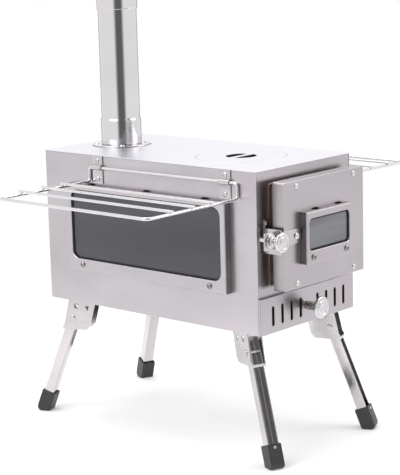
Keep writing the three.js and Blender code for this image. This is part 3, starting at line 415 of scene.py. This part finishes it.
def dark_glass(name, colour, haze, clear):
    m = Nodes(name)
    shader = m.shader
    # Lighter and darker bands across the glass, mixed into its colour: painted light and shade of what the
    # glass shows.
    painted_light_bands = m.noise((3, 2.2, 22), 4.0, 0.55)
    darker = tuple(c * 0.55 for c in colour)
    m.link(m.mixed(m.between(painted_light_bands, 0, 1, 0.35, 0.65), darker, colour), shader.inputs["Base Color"])
    m.link(m.between(painted_light_bands, 0.03, haze), shader.inputs["Roughness"])
    shader.inputs["IOR"].default_value = 1.5
    shader.inputs["Alpha"].default_value = clear
    shader.inputs["Coat Weight"].default_value = 0.6
    shader.inputs["Coat Roughness"].default_value = 0.02
    m.bump(m.noise((30, 30, 30), 2.0), 0.02, 0.0005)
    return m.material


side_glass = dark_glass("side_glass", (0.082, 0.082, 0.098), 0.06, 0.74)
door_glass = dark_glass("door_glass", (0.26, 0.255, 0.29), 0.12, 0.93)


def soft_black(name, colour, roughness, scale, strength):
    m = Nodes(name)
    grains = m.noise(scale, 5.0, 0.6)
    paler = tuple(c * 1.7 + 0.006 for c in colour)
    m.link(m.mixed(m.between(grains, 0, 1), colour, paler), m.shader.inputs["Base Color"])
    m.link(m.between(grains, roughness - 0.08, roughness + 0.1), m.shader.inputs["Roughness"])
    m.bump(grains, strength, 0.0006)
    return m.material


black_rubber = soft_black("black_rubber", (0.018, 0.018, 0.021), 0.42, (260, 260, 260), 0.25)
rope_black = soft_black("rope_black", (0.008, 0.008, 0.009), 0.85, (900, 900, 900), 0.8)


# ---------------------------------------------------------------------------------------------
# Pieces
# ---------------------------------------------------------------------------------------------


def piece(name, body, material, parts, replaced=None, crease=38):
    """One piece from shapes, each with its place; it stands for the solid of the same name."""
    mesh = bpy.data.meshes.new(name)
    whole = bmesh.new()
    for bm, matrix in parts:
        bm.transform(matrix)
        part = bpy.data.meshes.new("part")
        bm.to_mesh(part)
        bm.free()
        whole.from_mesh(part)
        bpy.data.meshes.remove(part)
    whole.to_mesh(mesh)
    whole.free()
    for polygon in mesh.polygons:
        polygon.use_smooth = True
    mesh.set_sharp_from_angle(angle=math.radians(crease))
    mesh.materials.append(material)
    made = bpy.data.objects.new(name + "_look", mesh)
    bpy.context.scene.collection.objects.link(made)
    weighted = made.modifiers.new("normals", "WEIGHTED_NORMAL")
    weighted.keep_sharp = True
    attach(made, body)
    solids = [name] if replaced is None else replaced
    if solids:
        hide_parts(*solids)
    return made


def rivet_head(x, y, seat, radius=4.05, height=1.55):
    profile = [
        (0, seat - 0.4),
        (radius, seat - 0.4),
        (radius, seat + 0.25),
        (radius * 0.93, seat + height * 0.55),
        (radius * 0.72, seat + height * 0.88),
        (radius * 0.42, seat + height),
        (radius * 0.34, seat + height * 0.92),
        (radius * 0.30, seat + height * 0.40),
        (0, seat + height * 0.34),
    ]
    return lathe(softened(profile, 0.25, closed=False, steps=2), x, y, 40)


def cut_by(bm, tools):
    """The shape less the tools."""

    def holder(shape):
        mesh = bpy.data.meshes.new("cut")
        shape.to_mesh(mesh)
        shape.free()
        made = bpy.data.objects.new("cut", mesh)
        bpy.context.scene.collection.objects.link(made)
        return made

    body = holder(bm)
    cutters = [holder(tool) for tool in tools]
    for cutter in cutters:
        modifier = body.modifiers.new("cut", "BOOLEAN")
        modifier.operation = "DIFFERENCE"
        modifier.solver = "EXACT"
        modifier.object = cutter
    bpy.context.view_layer.update()
    mesh = bpy.data.meshes.new_from_object(body.evaluated_get(bpy.context.evaluated_depsgraph_get()))
    result = bmesh.new()
    result.from_mesh(mesh)
    for made in [body, *cutters]:
        old = made.data
        bpy.data.objects.remove(made)
        bpy.data.meshes.remove(old)
    bpy.data.meshes.remove(mesh)
    return result


def screw(x, y, seat, length):
    """A pan-head screw with a cross recess."""
    r = 4.3
    top = seat + 2.4
    profile = [
        (0, seat - length),
        (1.5, seat - length),
        (2, seat - length + 0.8),
        (2, seat),
        (r, seat),
        (r, seat + 0.8),
        (r * 0.88, seat + 1.6),
        (r * 0.66, seat + 2.15),
        (r * 0.36, top),
        (0, top),
    ]
    body = lathe(softened(profile, 0.2, closed=False, steps=2), x, y, 48)
    tools = [
        block(x - 2.3, x + 2.3, y - 0.5, y + 0.5, top - 1.2, top + 1, 0.15),
        block(x - 0.5, x + 0.5, y - 2.3, y + 2.3, top - 1.2, top + 1, 0.15),
    ]
    return cut_by(body, tools)


# Casing ---------------------------------------------------------------------------------------

SIDE_FRAME = (-156, 156, 237, 368)
SIDE_OPENING = (-147, 147, 255, 359.5)
SIDE_CENTRE = 3  # on the left face
SIDE_TABS = [-112, 0, 112]
SIDE_SCREWS = [-126, 126]
DOOR_FRAME = (-52.5, 52.5, 278, 352)
DOOR_OPENING = (-46.5, 46.5, 297, 342)
DOOR_CENTRE = 3.5
DOOR_TABS = [-18.5, 34.5]
DOOR_SCREWS = [-38, 38]
VENT_SLOTS = [1.2 + side * (19.5 + 20.7 * i) for side in (-1, 1) for i in range(4)]


def moved(points, dx):
    return [(x + dx, y) for x, y in points]


def tab_slits(frame_box, tabs, dx):
    top = frame_box[3]
    return [box(x + dx - 6.3, x + dx + 6.3, top - 1.8, top + 1.2, 0.5, 2) for x in tabs]


side_holes = [
    moved(grown(SIDE_OPENING, -3, 10), SIDE_CENTRE),
    *tab_slits(SIDE_FRAME, SIDE_TABS, SIDE_CENTRE),
]
side_outline = box(-HALF_LENGTH, HALF_LENGTH, BASE, PANEL_TOP)
piece(
    "casing_left_side", "casing", wall_steel,
    [(plate(side_outline, -1.5, 0, side_holes, 0.5), LEFT)],
)
piece(
    "casing_right_side", "casing", wall_steel,
    [(plate(side_outline, -1.5, 0, edge=0.5), RIGHT)],
)

RIM = (-75.55, 88.95, 255, 387)
end_outline = box(-105.2, 105.2, BASE, PANEL_TOP)
front_holes = [grown(RIM, 0.3, 3.3), *[slot(x, 192.7, 221.8, 6.1) for x in VENT_SLOTS]]
piece(
    "casing_front", "casing", front_painted_shade_steel,
    [(plate(end_outline, -1.8, -0.3, front_holes), FRONT)],
)
piece("casing_back", "casing", front_painted_shade_steel, [(plate(end_outline, -1.8, -0.3), BACK)])

LID_Y, FLUE_Y = -92, 148.5
top_outline = softened(box(-HALF_WIDTH, HALF_WIDTH, -HALF_LENGTH, HALF_LENGTH), 0.8)
top_holes = [circle(0, LID_Y, 66.5, 128), circle(0, FLUE_Y, 30.3, 96)]
piece(
    "casing_top", "casing", top_painted_light_steel,
    [(plate(top_outline, -1.5, 0, top_holes, 0.55), TOP)],
)
piece("casing_bottom", "casing", front_painted_shade_steel, [(solid("casing_bottom", 0.4), PACKED)])
piece("fire_grate", "casing", inner_steel, [(solid("fire_grate", 0.4), PACKED)])
piece(
    "lid_seat_ring", "casing", lid_steel,
    [(plate(circle(0, LID_Y, 74, 128), -3.3, -1.8, [circle(0, LID_Y, 60, 128)]), TOP)],
)

piece(
    "door_rim", "casing", inner_steel,
    [
        (plate(grown(RIM, 0, 3), -2.8, 14.7, [grown(RIM, -1.5, 2)], 0.4), FRONT),
        (plate(grown(RIM, 6, 6), 0, 1.5, [grown(RIM, -0.5, 3)], 0.4), FRONT),
    ],
)

vent_outline = box(-HALF_WIDTH, HALF_WIDTH, BASE, 235, 0.6, 3)
knob_slot = box(-11.5, 5.85, 206.7, 212.3, 1.4, 4)
vent_slots = [slot(x, 193, 221.5, 5.5) for x in VENT_SLOTS]
vent_wall_hole = box(-105.5, 105.5, 184.5, 233.5, 0.6, 3)
piece(
    "vent_cover", "casing", front_painted_shade_steel,
    [
        (plate(vent_outline, 3.5, 5, [*vent_slots, knob_slot], 0.45), FRONT),
        (plate(vent_outline, 0.3, 4.4, [vent_wall_hole], 0.2), FRONT),
    ],
)


# Windows --------------------------------------------------------------------------------------


def frame_tray(frame_box, opening, corner, tabs):
    """A pressed tray: walls, a rounded outer bend, a flat face and a lip rolled in at the opening."""
    proud, thick, bend, roll = 12.0, 1.5, 2.0, 1.6

    def ring(points, z):
        return [(x, y, z) for x, y in points]

    loops = [ring(grown(frame_box, 0, 2.6), 0.3)]
    for k in range(5):
        a = math.pi / 2 * k / 4
        inset = bend * (1 - math.cos(a))
        loops.append(ring(grown(frame_box, -inset, 2.6), proud - bend + bend * math.sin(a)))
    for k in range(5):
        a = math.pi / 2 * k / 4
        out = roll * (1 - math.sin(a))
        loops.append(ring(grown(opening, out, corner + out), proud - roll + roll * math.cos(a)))
    loops.append(ring(grown(opening, 0, corner), proud - 3.7))
    loops.append(ring(grown(opening, 1.2, corner + 1.2), proud - 3.7))
    loops.append(ring(grown(opening, 1.2, corner + 1.2), proud - thick - 0.6))
    loops.append(ring(grown(opening, 2, corner + 2), proud - thick))
    loops.append(ring(grown(frame_box, -2.4, 2), proud - thick))
    loops.append(ring(grown(frame_box, -thick, 1.6), proud - thick - 0.8))
    loops.append(ring(grown(frame_box, -thick, 1.6), 0.3))
    top = frame_box[3]
    fingers = [block(x - 6, x + 6, top - 1.5, top, -4, 6, 0.3) for x in tabs]
    return [loft(loops), *fingers]


def window(prefix, body, matrix, frame_box, opening, corner, tabs, screws, names, steel_look, glass_look):
    trays = [(shape, matrix) for shape in frame_tray(frame_box, opening, corner, tabs)]
    made = piece(prefix + "_frame", body, steel_look, trays)
    made.data.materials.append(frame_wall_painted_shade_steel)
    # The walls that face sideways take the darker copy: painted shade.
    out = matrix.to_3x3().col[2].normalized()
    for polygon in made.data.polygons:
        if abs(polygon.normal.dot(out)) < 0.15:
            polygon.material_index = 1
    glass = plate(grown(opening, 3.7, corner + 3.7), 4, 8, edge=0.4)
    piece(prefix + "_glass", body, glass_look, [(glass, matrix)])
    gasket = plate(grown(opening, 3.7, corner + 3.7), 0.3, 3.7, [grown(opening, -3, corner - 3)], 0.9)
    seal_path = [(x, y, 9.0) for x, y in grown(opening, -0.9, corner - 0.9)]
    seal = tube(seal_path, 1.0, 10, closed=True)
    piece(prefix + "_gasket", body, rope_black, [(gasket, matrix), (seal, matrix)])
    for x, name in zip(screws, names):
        shape = screw(x, frame_box[2] + 9.5, 12.3, 16.8)
        piece(prefix + "_screw_" + name, body, screw_painted_shade_steel, [(shape, matrix)])


window(
    "side_window", "casing", offset(LEFT, SIDE_CENTRE), SIDE_FRAME, SIDE_OPENING, 13,
    SIDE_TABS, SIDE_SCREWS, ["rear", "front"], wall_steel, side_glass,
)
window(
    "door_window", "door", offset(FRONT, DOOR_CENTRE, 0, 30), DOOR_FRAME, DOOR_OPENING, 7,
    DOOR_TABS, DOOR_SCREWS, ["left", "right"], front_painted_shade_steel, door_glass,
)


# Chimney and lid ------------------------------------------------------------------------------

flange_rivets = [(sx * 38 * math.sqrt(0.5), FLUE_Y + sy * 38 * math.sqrt(0.5)) for _, sx, sy in CORNERS]
collar_profile = [
    (29, -6), (30, -6), (30, 0.3), (45.5, 0.3), (45.5, 1.8), (31.2, 1.8), (30, 3.2), (30, 36), (29, 36),
]
piece(
    "flue_collar", "casing", pipe_steel,
    [
        (lathe(softened(collar_profile, 0.4), 0, FLUE_Y, 96), TOP),
        *[(rivet_head(x, y, 1.8), TOP) for x, y in flange_rivets],
    ],
)


def pipe_profile(foot):
    """A pipe with a wider socket, which has a rolled edge at its foot."""
    shoulder = foot + 37
    return [
        (30.3, foot), (31.2, foot), (31.6, foot + 0.6), (31.5, foot + 1.4), (31.3, foot + 2.2),
        (31.3, shoulder - 0.6), (31.2, shoulder + 0.2), (30.9, shoulder + 1),
        (30.3, shoulder + 2.2), (30.05, shoulder + 2.9), (30, shoulder + 3.8),
        (30, foot + 242), (29, foot + 242),
        (29, shoulder + 3), (30.3, shoulder),
    ]


piece(
    "flue_pipe_lower", "lower_pipe", pipe_steel,
    [(lathe(pipe_profile(2.1), 0, FLUE_Y, 128), TOP)], crease=50,
)
piece(
    "flue_pipe_upper", "upper_pipe", pipe_steel,
    [(lathe(pipe_profile(207.4), 0, FLUE_Y, 128), TOP)], crease=50,
)

# Two half-round finger openings either side of a bar, over a pressed cup.
HOLE = 22.5
half_angle = math.degrees(math.asin(4 / HOLE))
finger_holes = [
    arc(0, LID_Y, HOLE, half_angle, 180 - half_angle, 32),
    arc(0, LID_Y, HOLE, 180 + half_angle, 360 - half_angle, 32),
]
cup_profile = [
    (0, -11), (19.5, -11), (21.8, -10), (23.4, -7.5), (23.5, -0.75),
    (22.5, -0.75), (22.5, -6.6), (21.6, -8.6), (19.1, -10), (0, -10),
]
piece(
    "cooking_lid", "lid", lid_steel,
    [(plate(circle(0, LID_Y, 66, 128), -1.5, 0, finger_holes, 0.3), TOP)],
)
# The cup is painted nearly black, as shade seen through the finger holes.
piece("lid_cup", "lid", cup_painted_shade_steel, [(lathe(cup_profile, 0, LID_Y, 64), TOP)], replaced=[])


# Door -----------------------------------------------------------------------------------------

DOOR = (-85.55, 98.95, 245, 397)
STUDS = [(x, y) for x in (DOOR[0] + 29, DOOR[1] - 24) for y in (DOOR[2] + 8, DOOR[3] - 8)]
door_holes = [
    moved(grown(DOOR_OPENING, -3, 4), DOOR_CENTRE),
    *tab_slits(DOOR_FRAME, DOOR_TABS, DOOR_CENTRE),
]
piece(
    "door_panel", "door", front_painted_shade_steel,
    [
        (plate(grown(DOOR, 0, 3), 28.4, 30, door_holes, 0.6), FRONT),
        (plate(grown(DOOR, 0, 3), 11, 29.3, [grown(DOOR, -1.5, 1.5)], 0.25), FRONT),
    ],
)
piece(
    "door_liner", "door", inner_steel,
    [
        (plate(grown(RIM, 6, 6), 15, 16.5, [moved(grown(DOOR_OPENING, -3, 4), DOOR_CENTRE)]), FRONT),
        *[(rod(x, y, 3.5, 16, 28.2), FRONT) for x, y in STUDS],
    ],
)
for number, (x, y) in enumerate(STUDS):
    piece(
        f"door_rivet_{number + 1}", "door", bright_steel,
        [(rivet_head(x, y, 30.1), FRONT)], replaced=[],
    )

HINGE_X = 102.5
for name, foot in [("lower", 263.0), ("upper", 363.0)]:
    barrel_profile = [(2.3, foot), (3.25, foot), (3.25, foot + 16), (2.3, foot + 16)]
    leaf = block(99.25, 100.75, foot, foot + 16, 6, 28, 0.3)
    upright = place((1, 0, 0), (0, 1, 0), (0, 0, 1), (0, -HALF_LENGTH, 0))
    barrel = lathe(softened(barrel_profile, 0.3), HINGE_X, -6, 40)
    piece("door_hinge_" + name, "door", small_steel, [(barrel, upright), (leaf, FRONT)])
    piece(
        "hinge_pintle_" + name, "casing", small_steel,
        [(solid("hinge_pintle_" + name, 0.25), PACKED)],
    )


# Latch ----------------------------------------------------------------------------------------

PIVOT_X, PIVOT_Y, KNOB_X = -60.5, 320.5, -108
strap_outline = [*arc(PIVOT_X, PIVOT_Y, 10.5, -90, 90, 24), (-94, PIVOT_Y + 10.5), (-94, PIVOT_Y - 10.5)]
ear_outline = softened(box(KNOB_X - 12.5, -94, PIVOT_Y - 12.5, PIVOT_Y + 12), 2.4, steps=5)
rest_pin = rod(0, 0, 2, 0, 7, 0.3, 24)
pin_place = FRONT @ Matrix.Translation((-94, PIVOT_Y - 8.5, 7)) @ Matrix.Rotation(math.radians(90), 4, "Y")
piece(
    "latch_lever", "latch", small_steel,
    [
        (plate(strap_outline, 30.3, 32.3, edge=0.4), FRONT),
        (block(-95, -93, PIVOT_Y - 21.5, PIVOT_Y + 13.5, 3.8, 32.3, 0.4), FRONT),
        (plate(ear_outline, 23, 25, edge=0.4), FRONT),
        (rest_pin, pin_place),
    ],
)
pivot_profile = [
    (0, 25.5), (2.5, 25.5), (2.5, 32.6), (4.75, 32.6), (4.75, 33.8),
    (3.6, 34.6), (2.6, 34.8), (2.2, 34.3), (0, 34.2),
]
piece(
    "latch_pivot_screw", "door", bright_steel,
    [(lathe(softened(pivot_profile, 0.3, closed=False), PIVOT_X, PIVOT_Y, 48), FRONT)],
)
nut_outline = circle(KNOB_X, PIVOT_Y, 5.5, 6)
piece(
    "latch_bolt", "latch", bright_steel,
    [
        (rod(KNOB_X, PIVOT_Y, 3, 8, 46.4), FRONT),
        (plate(nut_outline, 17.7, 22.7, edge=0.4), FRONT),
        (rod(KNOB_X, PIVOT_Y, 10, 25.3, 26.8, 0.35, 56), FRONT),
    ],
)
piece("latch_catch", "casing", small_steel, [(solid("latch_catch", 0.25), PACKED)])


def coil(x, y, z0, length, curls, radius=5.5, wire=1.0):
    """A wound spring whose ends lie nearly flat on what they meet."""
    points = []
    steps = int(curls * 28)
    for i in range(steps + 1):
        t = i / steps
        a = 2 * math.pi * curls * t
        ease = t - math.sin(2 * math.pi * t) * 0.05
        z = z0 + wire + (length - 2 * wire) * ease
        points.append((x + radius * math.cos(a), y + radius * math.sin(a), z))
    return tube(points, wire, 12)


def knob_disc(x, y, seat, radius):
    """A turned knob with a rounded rim, a ring groove and a shallow dish."""
    top = seat + 5
    profile = [
        (0, seat), (radius - 1, seat), (radius, seat + 1), (radius, top - 1.6), (radius - 0.6, top - 0.8),
        (radius - 1.6, top - 0.35), (radius * 0.66, top - 0.1), (radius * 0.62, top - 0.6),
        (radius * 0.56, top - 0.6), (radius * 0.52, top), (radius * 0.3, top), (0, top - 0.8),
    ]
    return lathe(softened(profile, 0.35, closed=False), x, y, 80)


piece(
    "latch_spring", "latch", bright_steel,
    [(coil(KNOB_X, PIVOT_Y, 27.1, 15.6, 4.5), FRONT)],
)
piece(
    "latch_disc", "latch", bright_steel,
    [(knob_disc(KNOB_X, PIVOT_Y, 43, 14), FRONT)],
)


# Air vent -------------------------------------------------------------------------------------

VENT_X, VENT_Y = -8, 209.5
slide_outline = box(-105.2, 94.85, 184.8, 233.2)
piece(
    "vent_slide", "air_slide", inner_steel,
    [(plate(slide_outline, 1.7, 3.2, vent_slots, 0.25), FRONT)],
)
piece(
    "vent_knob_stud", "air_slide", bright_steel,
    [
        (rod(VENT_X, VENT_Y, 4.5, 0.5, 1.4, 0.2), FRONT),
        (rod(VENT_X, VENT_Y, 2.5, 1, 34.2), FRONT),
        (rod(VENT_X, VENT_Y, 7, 5.3, 6.8, 0.35, 48), FRONT),
    ],
)
piece(
    "vent_knob_spring", "air_slide", dark_brown_steel,
    [(coil(VENT_X, VENT_Y, 7.1, 23.6, 6.5), FRONT)],
)
piece(
    "vent_knob_disc", "air_slide", bright_steel,
    [(knob_disc(VENT_X, VENT_Y, 31, 16), FRONT)],
)


# Racks ----------------------------------------------------------------------------------------

ROD_OUT = 2.75  # casing side to the middle of the rod
ROD_HEIGHT = 395
RACK_Y = -33  # middle of a rack
STRAP_PLACES = [("front", -153), ("rear", 94.5)]


def wire_loop(corners, radii, steps=10):
    points = []
    count = len(corners)
    for i in range(count):
        p = Vector(corners[i])
        a = (Vector(corners[i - 1]) - p).normalized()
        b = (Vector(corners[(i + 1) % count]) - p).normalized()
        r = radii[i]
        centre = p + a * r + b * r
        for k in range(steps + 1):
            t = math.pi / 2 * k / steps
            points.append(centre - b * r * math.cos(t) - a * r * math.sin(t))
    return points


def rack(side, matrix, along):
    half, drop, out = 143, 22, 183 - ROD_OUT
    one_arm = [(half, 0, 0), (half, -drop, 0), (half, -drop, out)]
    corners = [*one_arm, *[(-x, y, z) for x, y, z in reversed(one_arm)]]
    loop = tube(wire_loop(corners, [5, 5, 9, 9, 5, 5]), 2.25, 18, closed=True)
    parts = [loop]
    for reach in (58, 96, 139):
        z, y = reach - ROD_OUT, -drop + 4.25 - 0.3
        end = half + 4.75
        profile = [(-end, y, z), (-end + 0.4, y, z), (end - 0.4, y, z), (end, y, z)]
        parts.append(tube(profile, 2.0, 16))
    where = offset(matrix, RACK_Y * along, ROD_HEIGHT, ROD_OUT)
    piece("rack_" + side, side + "_rack", wire_steel, [(p, where) for p in parts], crease=60)


def strap(side, end, matrix, x):
    inner, outer = 2.55, 4.05
    profile = [
        (-24, 0.3), (-24, 1.8), (-outer, 1.8),
        *[(y, z) for z, y in arc(ROD_OUT, 0, outer, -90, 90, 20)],
        (outer, 1.8), (17, 1.8), (17, 0.3), (inner, 0.3),
        *[(y, z) for z, y in arc(ROD_OUT, 0, inner, 90, -90, 20)],
        (-inner, 0.3),
    ]
    where = offset(matrix, x, ROD_HEIGHT, 0)
    piece(
        f"rack_bracket_{side}_{end}", "casing", small_steel,
        [
            (bar(profile, -10, 10, 0.35), where),
            (rivet_head(0, 9.5, 1.8), where),
            (rivet_head(0, -17, 1.8), where),
        ],
    )


for side, matrix, along in (("left", LEFT, -1), ("right", RIGHT, 1)):
    rack(side, matrix, along)
    for end, y in STRAP_PLACES:
        strap(side, end, matrix, y * along)


# Legs -----------------------------------------------------------------------------------------

TILT, SPLAY = math.radians(21), math.radians(22)
LEG_X, LEG_FRONT_Y, LEG_REAR_Y = 91.5, -183, 172
PIVOT_HEIGHT = 154
QUARTER_TURN = math.radians(90)


def rounded_channel():
    """A folded channel, open to the outside, with round bends."""
    x, y, t = 7.75, 8.75, 1.5
    outer, inner = 2.2, 0.9
    points = [(x, -y), (x, -y + t)]
    points += [(-x + t + inner, -y + t)]
    points += [(px, py) for px, py in reversed(arc(-x + t + inner, -y + t + inner, inner, 180, 270, 4))]
    points += [(px, py) for px, py in reversed(arc(-x + t + inner, y - t - inner, inner, 90, 180, 4))]
    points += [(x, y - t), (x, y)]
    points += arc(-x + outer, y - outer, outer, 90, 180, 5)
    points += arc(-x + outer, -y + outer, outer, 180, 270, 5)
    cleaned = [points[0]]
    for p in points[1:]:
        if (Vector(p) - Vector(cleaned[-1])).length > 1e-4:
            cleaned.append(p)
    return cleaned


for corner, ax, ay in CORNERS:
    pivot_y = LEG_FRONT_Y if ay < 0 else LEG_REAR_Y
    turn = math.atan2(math.cos(SPLAY) * ay, math.sin(SPLAY) * ax)
    upright = Matrix.Translation(Vector((LEG_X * ax, pivot_y + SHIFT, PIVOT_HEIGHT)) * MM)
    upright = upright @ Matrix.Rotation(turn, 4, "Z") @ Matrix.Scale(MM, 4)
    leaning = upright @ Matrix.Rotation(-TILT, 4, "Y")
    body = corner + "_leg"
    channel = plate(rounded_channel(), -154.5, 22, edge=0.35)
    piece("leg_" + corner, body, leg_steel, [(channel, leaning)])
    foot = solid("foot_" + corner, 1.1, 4)
    piece("foot_" + corner, body, black_rubber, [(foot, PACKED)])
    dot_profile = [(0, -0.5), (1.9, -0.5), (1.9, 0.4), (1.2, 0.8), (0, 0.85)]
    dot = lathe(softened(dot_profile, 0.25, False), 0, 0, 24)
    dot_place = leaning @ Matrix.Translation((10.75, 0, -136)) @ Matrix.Rotation(QUARTER_TURN, 4, "Y")
    piece("foot_rivet_" + corner, body, bright_steel, [(dot, dot_place)], replaced=[])
    head_profile = [(0, 10.8), (4.35, 10.8), (4.35, 12.3), (3.4, 13.25), (0, 13.3)]
    pin_ends = []
    for way in (1, -1):
        head = lathe(softened(head_profile, 0.5, False), 0, 0, 40)
        pin_ends.append((head, upright @ Matrix.Rotation(QUARTER_TURN * way, 4, "X")))
    bracket = "leg_bracket_" + corner
    piece(bracket, "casing", small_steel, [(solid(bracket, 0.35), PACKED), *pin_ends])


# ---------------------------------------------------------------------------------------------
# Studio
# ---------------------------------------------------------------------------------------------


FLOOR_RADIUS = 1.9


def floor():
    """A round white floor that fades to plain white well outside the object's shadow."""
    mesh = bpy.data.meshes.new("floor")
    rim = [(x, y, 0) for x, y in circle(0, 0, FLOOR_RADIUS, 96)]
    mesh.from_pydata(rim, [], [tuple(range(len(rim)))])
    made = bpy.data.objects.new("floor", mesh)
    bpy.context.scene.collection.objects.link(made)
    m = Nodes("floor_white")
    m.shader.inputs["Base Color"].default_value = (0.93, 0.93, 0.93, 1)
    m.shader.inputs["Roughness"].default_value = 0.9
    m.shader.inputs["Specular IOR Level"].default_value = 0.0
    m.shader.inputs["Emission Color"].default_value = (1, 1, 1, 1)
    m.shader.inputs["Emission Strength"].default_value = 0.18
    coordinates = m.add("ShaderNodeTexCoord")
    length = m.add("ShaderNodeVectorMath", operation="LENGTH")
    m.link(coordinates.outputs["Object"], length.inputs[0])
    white = m.add("ShaderNodeEmission")
    white.inputs["Strength"].default_value = 1.0
    blend = m.add("ShaderNodeMixShader")
    m.link(m.between(length.outputs["Value"], 0, 1, 0.45, 1.1), blend.inputs[0])
    m.link(m.shader.outputs[0], blend.inputs[1])
    m.link(white.outputs[0], blend.inputs[2])
    m.link(blend.outputs[0], m.tree.nodes["Material Output"].inputs["Surface"])
    mesh.materials.append(m.material)


def lamp(name, at, size, watts, to=(0, 0, 0.3)):
    data = bpy.data.lights.new(name, "AREA")
    data.shape = "RECTANGLE"
    data.size, data.size_y = size
    data.energy = watts
    made = bpy.data.objects.new(name, data)
    bpy.context.scene.collection.objects.link(made)
    made.location = at
    made.rotation_mode = "QUATERNION"
    made.rotation_quaternion = (Vector(to) - Vector(at)).to_track_quat("-Z", "Y")


def world():
    """White to the camera; what metal reflects is white with a few soft dark walls round the studio."""
    made = bpy.data.worlds.new("studio")
    bpy.context.scene.world = made
    made.use_nodes = True
    tree = made.node_tree
    background = tree.nodes["Background"]

    def add(kind, **values):
        node = tree.nodes.new(kind)
        for key, value in values.items():
            setattr(node, key, value)
        return node

    def maths(operation, a, b=None):
        n = add("ShaderNodeMath", operation=operation)
        for i, value in enumerate((a, b)):
            if value is None:
                continue
            if isinstance(value, (int, float)):
                n.inputs[i].default_value = value
            else:
                tree.links.new(value, n.inputs[i])
        return n.outputs[0]

    place_node = add("ShaderNodeTexCoord")
    parts = add("ShaderNodeSeparateXYZ")
    tree.links.new(place_node.outputs["Generated"], parts.inputs[0])
    round_about = maths("ARCTAN2", parts.outputs["Y"], parts.outputs["X"])

    def wall(middle, half_width, depth, raised=False):
        """A soft dark strip round a compass direction, in degrees; a raised one is above the horizon."""
        away = maths("ABSOLUTE", maths("SUBTRACT", round_about, math.radians(middle)))
        inside = add("ShaderNodeMapRange", interpolation_type="SMOOTHSTEP")
        inside.inputs["From Min"].default_value = math.radians(half_width * 0.4)
        inside.inputs["From Max"].default_value = math.radians(half_width)
        inside.inputs["To Min"].default_value = depth
        inside.inputs["To Max"].default_value = 0.0
        tree.links.new(away, inside.inputs["Value"])
        if not raised:
            return inside.outputs["Result"]
        above = add("ShaderNodeMapRange", interpolation_type="SMOOTHSTEP")
        above.inputs["From Max"].default_value = 0.2
        tree.links.new(parts.outputs["Z"], above.inputs["Value"])
        return maths("MULTIPLY", inside.outputs["Result"], above.outputs["Result"])

    dark = maths("ADD", wall(-130, 33, 0.92), wall(-80, 24, 0.6, raised=True))
    dark = maths("ADD", dark, wall(12, 10, 0.6))
    dark = maths("ADD", dark, wall(72, 10, 0.6))
    reflected = maths("MAXIMUM", maths("SUBTRACT", 1.08, dark), 0.12)
    path = add("ShaderNodeLightPath")
    seen = maths("MAXIMUM", path.outputs["Is Camera Ray"], path.outputs["Is Transmission Ray"])
    lit = 0.52
    glossy = maths("MULTIPLY", path.outputs["Is Glossy Ray"], maths("SUBTRACT", reflected, lit))
    level = maths("ADD", glossy, lit)
    rest = maths("MULTIPLY", seen, maths("SUBTRACT", 1.0, level))
    tree.links.new(maths("ADD", level, rest), background.inputs["Strength"])
    background.inputs["Color"].default_value = (1, 1, 1, 1)


PICTURE_HEIGHT = 475  # pixels
SENSOR = 36


def camera():
    """At the photo's place: found from the casing's edges, legs, racks and chimney."""
    azimuth, elevation, roll = math.radians(41.68), math.radians(11.25), math.radians(1.54)
    distance, focal_pixels = 2.40075, 1601.12
    level = math.cos(elevation)
    away = Vector((-math.cos(azimuth) * level, -math.sin(azimuth) * level, math.sin(elevation)))
    view = -away
    right = view.cross(Vector((0, 0, 1))).normalized()
    down = view.cross(right)
    rolled_right = right * math.cos(roll) + down * math.sin(roll)
    rolled_down = down * math.cos(roll) - right * math.sin(roll)
    data = bpy.data.cameras.new("camera")
    data.lens = focal_pixels * SENSOR / PICTURE_HEIGHT
    data.clip_end = 100
    made = bpy.data.objects.new("camera", data)
    bpy.context.scene.collection.objects.link(made)
    turn = Matrix((rolled_right, -rolled_down, away)).transposed().to_4x4()
    turn.translation = Vector((0.08, -7.87 + SHIFT, 282.53)) * MM + away * distance
    made.matrix_world = turn
    bpy.context.scene.camera = made


floor()
lamp("key", (-2.6, 0.4, 2.6), (2.4, 2.4), 58)
lamp("fill", (1.8, -2.4, 2.2), (2.0, 2.0), 34)
lamp("overhead", (0.3, 0.6, 3.2), (2.6, 2.6), 44)
world()
camera()
bpy.context.scene.view_settings.view_transform = "Standard"
